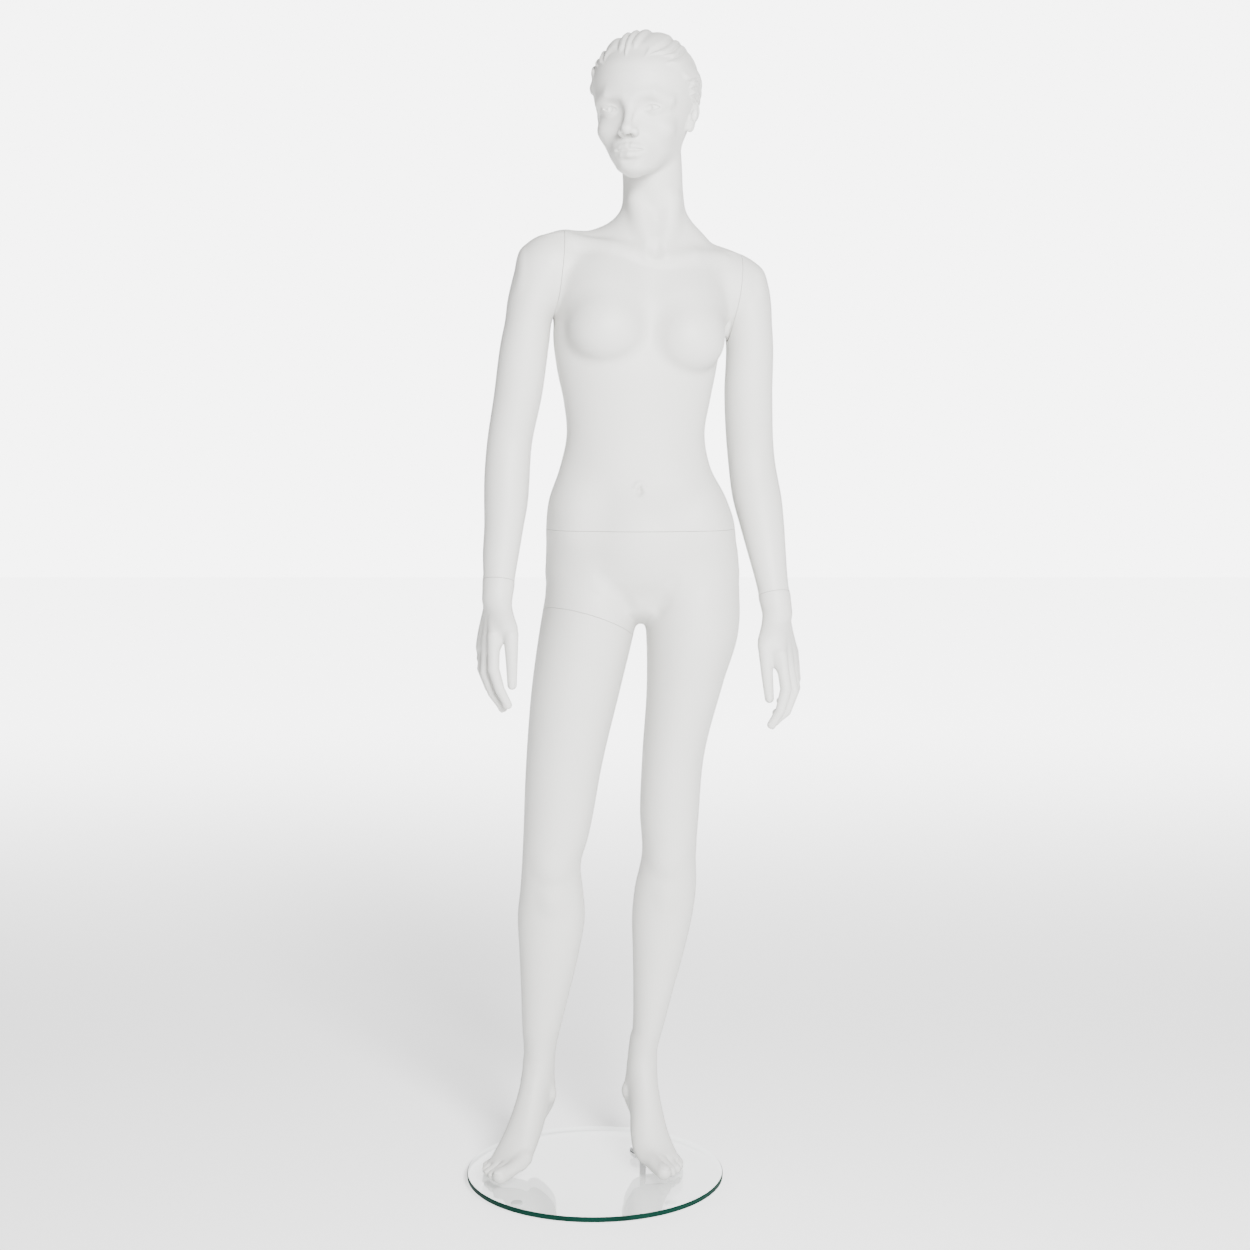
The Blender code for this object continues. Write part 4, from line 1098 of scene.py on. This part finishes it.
def field_normals(mesh, walls):
    """Shade the outer skin by the field's own slope, and the seam's wall by its faces."""
    count = len(mesh.vertices)
    points = np.empty(count * 3, np.float32)
    mesh.vertices.foreach_get("co", points)
    points = points.reshape(-1, 3).astype(float)
    gradient = slope(points)
    gradient /= np.maximum(np.linalg.norm(gradient, axis=1), 1e-9)[:, None]
    corners = np.empty(len(mesh.loops), np.int32)
    mesh.loops.foreach_get("vertex_index", corners)
    sizes = np.empty(len(mesh.polygons), np.int32)
    mesh.polygons.foreach_get("loop_total", sizes)
    flat = np.empty(len(mesh.polygons) * 3, np.float32)
    mesh.polygons.foreach_get("normal", flat)
    owner = np.repeat(np.arange(len(sizes)), sizes)
    normals = gradient[corners]
    flat = flat.reshape(-1, 3)[owner]
    stray = walls[owner] | ((normals * flat).sum(1) < 0.3)
    normals[stray] = flat[stray]
    mesh.normals_split_custom_set(normals.tolist())


# ---------------------------------------------------------------- materials
def blank_material(name):
    material = bpy.data.materials.new(name)
    material.use_nodes = True
    tree = material.node_tree
    return material, tree, tree.nodes["Principled BSDF"]


def noise(tree, scale, detail=2.0, stretch=None):
    coordinates = tree.nodes.new("ShaderNodeTexCoord")
    texture = tree.nodes.new("ShaderNodeTexNoise")
    texture.inputs["Scale"].default_value = scale
    texture.inputs["Detail"].default_value = detail
    source = coordinates.outputs["Object"]
    if stretch:
        mapping = tree.nodes.new("ShaderNodeMapping")
        mapping.inputs["Scale"].default_value = stretch
        tree.links.new(source, mapping.inputs["Vector"])
        source = mapping.outputs["Vector"]
    tree.links.new(source, texture.inputs["Vector"])
    return texture.outputs["Fac"]


def between(tree, factor, low, high):
    """Two colours or values mixed by a factor, as a colour ramp."""
    mix = tree.nodes.new("ShaderNodeValToRGB")
    mix.color_ramp.elements[0].position = 0.3
    mix.color_ramp.elements[1].position = 0.7
    mix.color_ramp.elements[0].color = (*low, 1)
    mix.color_ramp.elements[1].color = (*high, 1)
    tree.links.new(factor, mix.inputs["Fac"])
    return mix.outputs["Color"]


def bumped(tree, shader, height, strength, distance):
    bump = tree.nodes.new("ShaderNodeBump")
    bump.inputs["Strength"].default_value = strength
    bump.inputs["Distance"].default_value = distance
    tree.links.new(height, bump.inputs["Height"])
    tree.links.new(bump.outputs["Normal"], shader.inputs["Normal"])


def surface_material(name, low, high, scale, roughness, metallic=0.0, bump=0.0, bump_scale=None,
                     stretch=None):
    """A finish whose colour and roughness wander a little, over a fine relief."""
    material, tree, shader = blank_material(name)
    patches = noise(tree, scale, 4.0, stretch)
    tree.links.new(between(tree, patches, low, high), shader.inputs["Base Color"])
    rough = between(tree, noise(tree, scale * 2.3, 3.0, stretch),
                    (roughness[0],) * 3, (roughness[1],) * 3)
    tree.links.new(rough, shader.inputs["Roughness"])
    shader.inputs["Metallic"].default_value = metallic
    if bump:
        bumped(tree, shader, noise(tree, bump_scale, 2.0, stretch), bump, 0.0004)
    return material


FIBREGLASS = surface_material("fibreglass", (0.56, 0.556, 0.532), (0.576, 0.573, 0.55), 9.0,
                              (0.52, 0.6), bump=0.05, bump_scale=420)
STEEL = surface_material("steel", (0.5, 0.5, 0.51), (0.62, 0.62, 0.63), 60.0, (0.22, 0.34), 1.0,
                         bump=0.08, bump_scale=900, stretch=(1, 1, 12))
SILICONE = surface_material("silicone", (0.7, 0.72, 0.72), (0.76, 0.78, 0.78), 40.0, (0.35, 0.5),
                            bump=0.1, bump_scale=700)
NYLON = surface_material("nylon", (0.03, 0.03, 0.032), (0.05, 0.05, 0.053), 50.0, (0.45, 0.6),
                         bump=0.1, bump_scale=900)
BOARD = surface_material("board", (0.42, 0.29, 0.17), (0.6, 0.45, 0.29), 14.0, (0.6, 0.8),
                         bump=0.3, bump_scale=160, stretch=(1, 9, 1))


def glass_material(name, tint, gloss_tint):
    """Thin clear glass: light passes through tinted, and the surface mirrors at a shallow angle."""
    material, tree, shader = blank_material(name)
    shader.inputs["Base Color"].default_value = (*gloss_tint, 1)
    shader.inputs["Roughness"].default_value = 0.03
    shader.inputs["IOR"].default_value = 1.52
    clear = tree.nodes.new("ShaderNodeBsdfTransparent")
    tree.links.new(between(tree, noise(tree, 5.0), [0.985 * c for c in tint], tint),
                   clear.inputs["Color"])
    edge_on = tree.nodes.new("ShaderNodeLayerWeight")
    edge_on.inputs["Blend"].default_value = 0.12
    mix = tree.nodes.new("ShaderNodeMixShader")
    mirror = tree.nodes.new("ShaderNodeBsdfGlossy")
    mirror.inputs["Roughness"].default_value = 0.02
    tree.links.new(edge_on.outputs["Facing"], mix.inputs["Fac"])
    tree.links.new(clear.outputs["BSDF"], mix.inputs[1])
    tree.links.new(mirror.outputs["BSDF"], mix.inputs[2])
    tree.links.new(mix.outputs["Shader"], tree.nodes["Material Output"].inputs["Surface"])
    return material


GLASS_FACE = glass_material("glass_face", (0.9, 0.906, 0.902), (0.9, 0.95, 0.93))
GLASS_EDGE = surface_material("glass_edge", (0.0004, 0.016, 0.01), (0.0008, 0.026, 0.017), 16.0,
                              (0.5, 0.6))


def hide_inside_of_edge(material):
    """The ground edge shows its green only from outside the glass."""
    tree = material.node_tree
    shader = tree.nodes["Principled BSDF"]
    shader.inputs["Specular IOR Level"].default_value = 0.05
    side = tree.nodes.new("ShaderNodeNewGeometry")
    clear = tree.nodes.new("ShaderNodeBsdfTransparent")
    clear.inputs["Color"].default_value = (0.93, 0.96, 0.95, 1)
    mix = tree.nodes.new("ShaderNodeMixShader")
    tree.links.new(side.outputs["Backfacing"], mix.inputs["Fac"])
    tree.links.new(shader.outputs["BSDF"], mix.inputs[1])
    tree.links.new(clear.outputs["BSDF"], mix.inputs[2])
    tree.links.new(mix.outputs["Shader"], tree.nodes["Material Output"].inputs["Surface"])


hide_inside_of_edge(GLASS_EDGE)

# ---------------------------------------------------------------- the base
DISC_SIDES = 256
ROUND_SIDES = 64
ROD_SIDES = 48
DISC_CHAMFER = 0.0012
BOLT_HOLE = 0.005           # radius of the hole drilled through the glass
PAD_CHAMFER = 0.0008
FLANGE_CHAMFER = 0.0009
ROD_GAP = 0.0002            # between the rod and the flange round it
ROD_CHAMFER = 0.002         # at the rod's top
THREAD_R, THREAD_DEPTH = 0.0032, 0.014      # the rod's blind hole for the bolt


def round_about(centre, radius, z, i, sides):
    """Corner i of a level circle."""
    turn = 2 * math.pi * i / sides
    return centre.x + radius * math.cos(turn), centre.y + radius * math.sin(turn), z


def lathe(name, profile, centre, sides, node, material):
    """A piece of the base turned round an upright axis, from a closed outline of radius and height."""
    bm = bmesh.new()
    rings = [[bm.verts.new(round_about(centre, r, z, i, sides)) for r, z in profile]
             for i in range(sides)]
    for i in range(sides):
        here, after = rings[i], rings[(i + 1) % sides]
        for k in range(len(profile)):
            j = (k + 1) % len(profile)
            bm.faces.new((here[k], after[k], after[j], here[j]))
    bmesh.ops.remove_doubles(bm, verts=bm.verts, dist=1e-7)
    finished(name, bm, node, [material])


def finished(name, bm, node, materials, angle=30):
    """Store a piece of the base, with its edges sharp beyond an angle in degrees."""
    bmesh.ops.recalc_face_normals(bm, faces=bm.faces)
    mesh = bpy.data.meshes.new(name)
    bm.to_mesh(mesh)
    bm.free()
    for material in materials:
        mesh.materials.append(material)
    mesh.shade_smooth()
    mesh.set_sharp_from_angle(angle=math.radians(angle))
    made = bpy.data.objects.new(name, mesh)
    bpy.context.scene.collection.objects.link(made)
    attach(made, "lower_body")
    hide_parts(node)


def size_of(node):
    """A CAD node's middle, half width and lowest and highest z."""
    low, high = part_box(node)
    return (low + high) / 2, (high.x - low.x) / 2, low.z, high.z


def make_base():
    make_disc(*size_of("glass_disc"), size_of("spigot_bolt")[0])
    for i in range(4):
        node = f"base_pad_{i + 1}"
        middle, radius, low, high = size_of(node)
        c = PAD_CHAMFER
        profile = [(0.0, low), (radius - c, low), (radius, low + c), (radius, high - c),
                   (radius - c, high), (0.0, high)]
        lathe(node + "_soft", profile, middle, ROD_SIDES, node, SILICONE)
    middle, radius, low, high = size_of("spigot_flange")
    c = FLANGE_CHAMFER
    bore = size_of("spigot_rod")[1] + ROD_GAP
    profile = [(bore, low), (radius, low), (radius, high - c), (radius - c / 3, high - c / 3),
               (radius - c, high), (bore, high)]
    lathe("spigot_flange_turned", profile, middle, ROUND_SIDES, "spigot_flange", STEEL)
    middle, radius, low, high = size_of("spigot_rod")
    profile = [(THREAD_R, low), (radius, low), (radius, high - ROD_CHAMFER),
               (radius - ROD_CHAMFER, high), (0.0, high), (0.0, low + THREAD_DEPTH),
               (THREAD_R, low + THREAD_DEPTH)]
    lathe("spigot_rod_turned", profile, middle, ROD_SIDES, "spigot_rod", STEEL)


def make_disc(middle, radius, low, high, hole):
    """The glass disc: bevelled rim, ground edge and a drilled hole for the bolt."""
    bm = bmesh.new()
    c = DISC_CHAMFER

    def circle(centre, r, z, sides):
        return [bm.verts.new(round_about(centre, r, z, i, sides)) for i in range(sides)]

    def wall(lower, upper):
        for i in range(len(lower)):
            j = (i + 1) % len(lower)
            bm.faces.new((lower[i], lower[j], upper[j], upper[i])).material_index = 1
    rims = [circle(middle, r, z, DISC_SIDES)
            for r, z in ((radius - c, low), (radius, low + c), (radius, high - c), (radius - c, high))]
    bores = [circle(hole, BOLT_HOLE, z, ROUND_SIDES) for z in (low, high)]
    for lower, upper in zip(rims, rims[1:]):
        wall(lower, upper)
    wall(*bores)
    for outer, inner in ((rims[0], bores[0]), (rims[-1], bores[1])):
        edges = [bm.edges.get((loop[i], loop[(i + 1) % len(loop)]))
                 for loop in (outer, inner) for i in range(len(loop))]
        made = bmesh.ops.triangle_fill(bm, use_beauty=True, use_dissolve=False, edges=edges)
        for face in (g for g in made["geom"] if isinstance(g, bmesh.types.BMFace)):
            face.material_index = 0
    finished("glass_disc_polished", bm, "glass_disc", [GLASS_FACE, GLASS_EDGE], 20)


CARRIED = {"silicone": SILICONE, "board": BOARD, "steel": STEEL, "nylon": NYLON}


def dress_carried_nodes():
    """Give each CAD node that stays visible the finish of its slot."""
    slots = {part["node"]: part["material_slot"] for part in frame["record"]["subparts"]}
    for name, node in frame["nodes"].items():
        if node.hide_render:
            continue
        node.data.materials.clear()
        node.data.materials.append(CARRIED[slots[name]])
        node.data.shade_smooth()
        node.data.set_sharp_from_angle(angle=math.radians(30))


# ---------------------------------------------------------------- the mouldings
LEG_CELLS = (0.13, 0.26, FOOT_CELL, TRUNK_CELL)
# The middle x and y of each arm's block of points, and a spot near the skin of the arm.
ARM_SPOTS = {"right": (-0.1, 0.0, (-0.14, 0.0, 1.22)), "left": (0.245, 0.06, (0.275, 0.08, 1.22))}


def make_body():
    sculpt_body()
    waist = seam("waist_twist", 1)
    thigh = seam("thigh_twist", -1)
    shoulders = {"right": seam("right_shoulder_swing", 1), "left": seam("left_shoulder_swing", -1)}
    wrists = {"right": seam("right_wrist_twist", 1), "left": seam("left_wrist_twist", 1)}
    make_torso(waist, shoulders)
    make_lower_body(waist, thigh)
    make_right_leg(thigh)
    for side in ("right", "left"):
        make_arm(side, shoulders[side], wrists[side])
        make_hand(side, wrists[side])


def everywhere(_):
    return True


def flip(cut):
    """The same seam, with the other side of it cut away."""
    return cut[0], -cut[1]


def make_torso(waist, shoulders):
    grid = warped_grid(1.0, 1.785, (1.465, 1.53, TRUNK_CELL, HEAD_CELL),
                       ((1.4, 1.53, 0.078, HEAD_AT[0]), (1.4, 1.53, 0.034, 0.018)), 0.186, 0.226)
    cuts = [
        (*shoulders["right"], lambda p: p.z > SHOULDER_CUT and p.x < 0.02),
        (*shoulders["left"], lambda p: p.z > SHOULDER_CUT and p.x > 0.12),
        (*flip(waist), everywhere),
    ]
    moulding("torso", grid, cuts, (0.07, -0.05, 1.15), "upper_body", "torso_shell", ARMS_OUT,
             front_boxes() + head_boxes(), NECK_SPLIT)


def front_boxes():
    """Boxes round the base of the neck, the breasts, the armpits and, twice over, the navel."""
    neck = ((0.03, -0.05, 1.4), (0.15, 0.035, 1.51))
    breasts = ((-0.045, -0.12, 1.235), (0.2, 0.02, 1.33))
    navel = ((0.052, -0.1, 1.06), (0.086, -0.03, 1.096))
    left_pit = ((0.178, -0.07, 1.272), (0.216, 0.13, 1.35))
    right_pit = ((-0.088, -0.06, 1.31), (-0.048, 0.09, 1.372))
    return [neck, breasts, navel, navel, left_pit, right_pit]


def head_boxes():
    """Boxes round the eyes, the mouth with the nostrils, and the ears."""
    spots = [((s * EYE[0], EYE[1] - 0.01, EYE[2]), (0.02, 0.016, 0.015)) for s in (1, -1)]
    spots.append(((0, -0.088, MOUTH_Z + 0.005), (0.027, 0.02, 0.028)))
    spots += [((s * 0.077, 0.016, 1.637), (0.013, 0.02, 0.032)) for s in (1, -1)]
    boxes = []
    for centre, half in spots:
        centre = HEAD @ Vector(centre)
        boxes.append((centre - Vector(half), centre + Vector(half)))
    return boxes


def make_lower_body(waist, thigh):
    grid = warped_grid(0.006, 1.034, LEG_CELLS, ((0.1, 0.8, 0.09, 0.074), steady(0.04)),
                       0.14, 0.22)
    cuts = [
        (*waist, everywhere),
        (*thigh, lambda p: p.x < 0.0705 and 0.8 < p.z < 0.95),
    ]
    groin = ((0.015, -0.1, 0.862), (0.13, 0.02, 0.94))
    moulding("lower_body", grid, cuts, (0.15, -0.05, 0.85), "lower_body", "lower_body_shell",
             ARMS_OUT, [groin])


def make_right_leg(thigh):
    grid = warped_grid(0.006, 0.965, LEG_CELLS,
                       ((0.1, 0.8, -0.116, -0.02), (0.1, 0.8, 0.025, 0.035)), 0.14, 0.22)
    moulding("right_leg", grid, [(*flip(thigh), everywhere)], (-0.06, -0.03, 0.55), "right_leg",
             "right_leg_shell", ARMS_OUT)


def make_arm(side, shoulder, wrist):
    middle, depth, keep = ARM_SPOTS[side]
    grid = warped_grid(0.88, 1.475, steady(LIMB_CELL), (steady(middle), steady(depth)), 0.19, 0.2)
    cuts = [
        (*flip(shoulder), lambda p: p.z > ARM_CUT[side]),
        (*wrist, everywhere),
    ]
    moulding(f"{side}_arm", grid, cuts, keep, f"{side}_arm", f"{side}_arm_shell",
             {"trunk": WEB_Z[side]})


def make_hand(side, wrist):
    low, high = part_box(f"{side}_hand")
    middle = (low + high) / 2
    grid = warped_grid(low.z - 0.006, high.z + 0.012, steady(HAND_CELL),
                       (steady(middle.x), steady(middle.y)),
                       high.x - low.x + 0.02, high.y - low.y + 0.02)
    moulding(f"{side}_hand_sculpted", grid, [(*flip(wrist), everywhere)],
             wrist[0] + wrist[1] * 0.04, f"{side}_hand", f"{side}_hand", {"trunk": WEB_Z[side]})


# ---------------------------------------------------------------- studio
def make_studio():
    mesh = bpy.data.meshes.new("floor")
    corners = [(x * FLOOR_HALF, y * FLOOR_HALF, FLOOR_Z)
               for x, y in ((-1, -1), (1, -1), (1, 1), (-1, 1))]
    mesh.from_pydata(corners, [], [(0, 1, 2, 3)])
    floor = bpy.data.objects.new("floor", mesh)
    bpy.context.scene.collection.objects.link(floor)
    paper = surface_material("floor", (0.9, 0.9, 0.9), (0.92, 0.92, 0.92), 0.5, (0.85, 0.95))
    shader = paper.node_tree.nodes["Principled BSDF"]
    shader.inputs["Specular IOR Level"].default_value = 0.0
    shader.inputs["Emission Color"].default_value = (1, 1, 1, 1)
    graded(paper.node_tree, "Object", FLOOR_RISE, FLOOR_GLOW, shader.inputs["Emission Strength"])
    mesh.materials.append(paper)
    world = bpy.data.worlds.new("studio")
    world.use_nodes = True
    light_the_sky(world.node_tree)
    bpy.context.scene.world = world
    soft_light("key", KEY_AT, KEY_AIM, KEY_SIZE, KEY_POWER)


def light_the_sky(tree):
    """White all round: bright behind the figure and calmer on the side it is seen from."""
    background = tree.nodes["Background"]
    background.inputs["Color"].default_value = (1.0, 1.0, 1.0, 1)
    graded(tree, "Generated", SKY_RISE, SKY_GLOW, background.inputs["Strength"])


def graded(tree, space, start, amount, target):
    """Drive a strength by how far back a place or a direction is."""
    place = tree.nodes.new("ShaderNodeTexCoord")
    split = tree.nodes.new("ShaderNodeSeparateXYZ")
    tree.links.new(place.outputs[space], split.inputs["Vector"])
    share = tree.nodes.new("ShaderNodeMapRange")
    share.interpolation_type = "SMOOTHSTEP"
    for name, value in zip(("From Min", "From Max", "To Min", "To Max"), start + amount):
        share.inputs[name].default_value = value
    tree.links.new(split.outputs["Y"], share.inputs["Value"])
    tree.links.new(share.outputs["Result"], target)


def soft_light(name, place, target, size, power):
    data = bpy.data.lights.new(name, "AREA")
    data.shape = "DISK"
    data.size = size
    data.energy = power
    light = bpy.data.objects.new(name, data)
    light.location = place
    light.rotation_euler = (Vector(target) - Vector(place)).to_track_quat("-Z", "Y").to_euler()
    bpy.context.scene.collection.objects.link(light)


def make_camera():
    data = bpy.data.cameras.new("camera")
    data.lens = CAMERA_LENS
    data.sensor_width = 36
    camera = bpy.data.objects.new("camera", data)
    camera.location = CAMERA_AT
    camera.rotation_euler = (math.radians(90 - CAMERA_DOWN), 0, 0)
    bpy.context.scene.collection.objects.link(camera)
    bpy.context.scene.camera = camera


make_body()
make_base()
dress_carried_nodes()
make_studio()
make_camera()
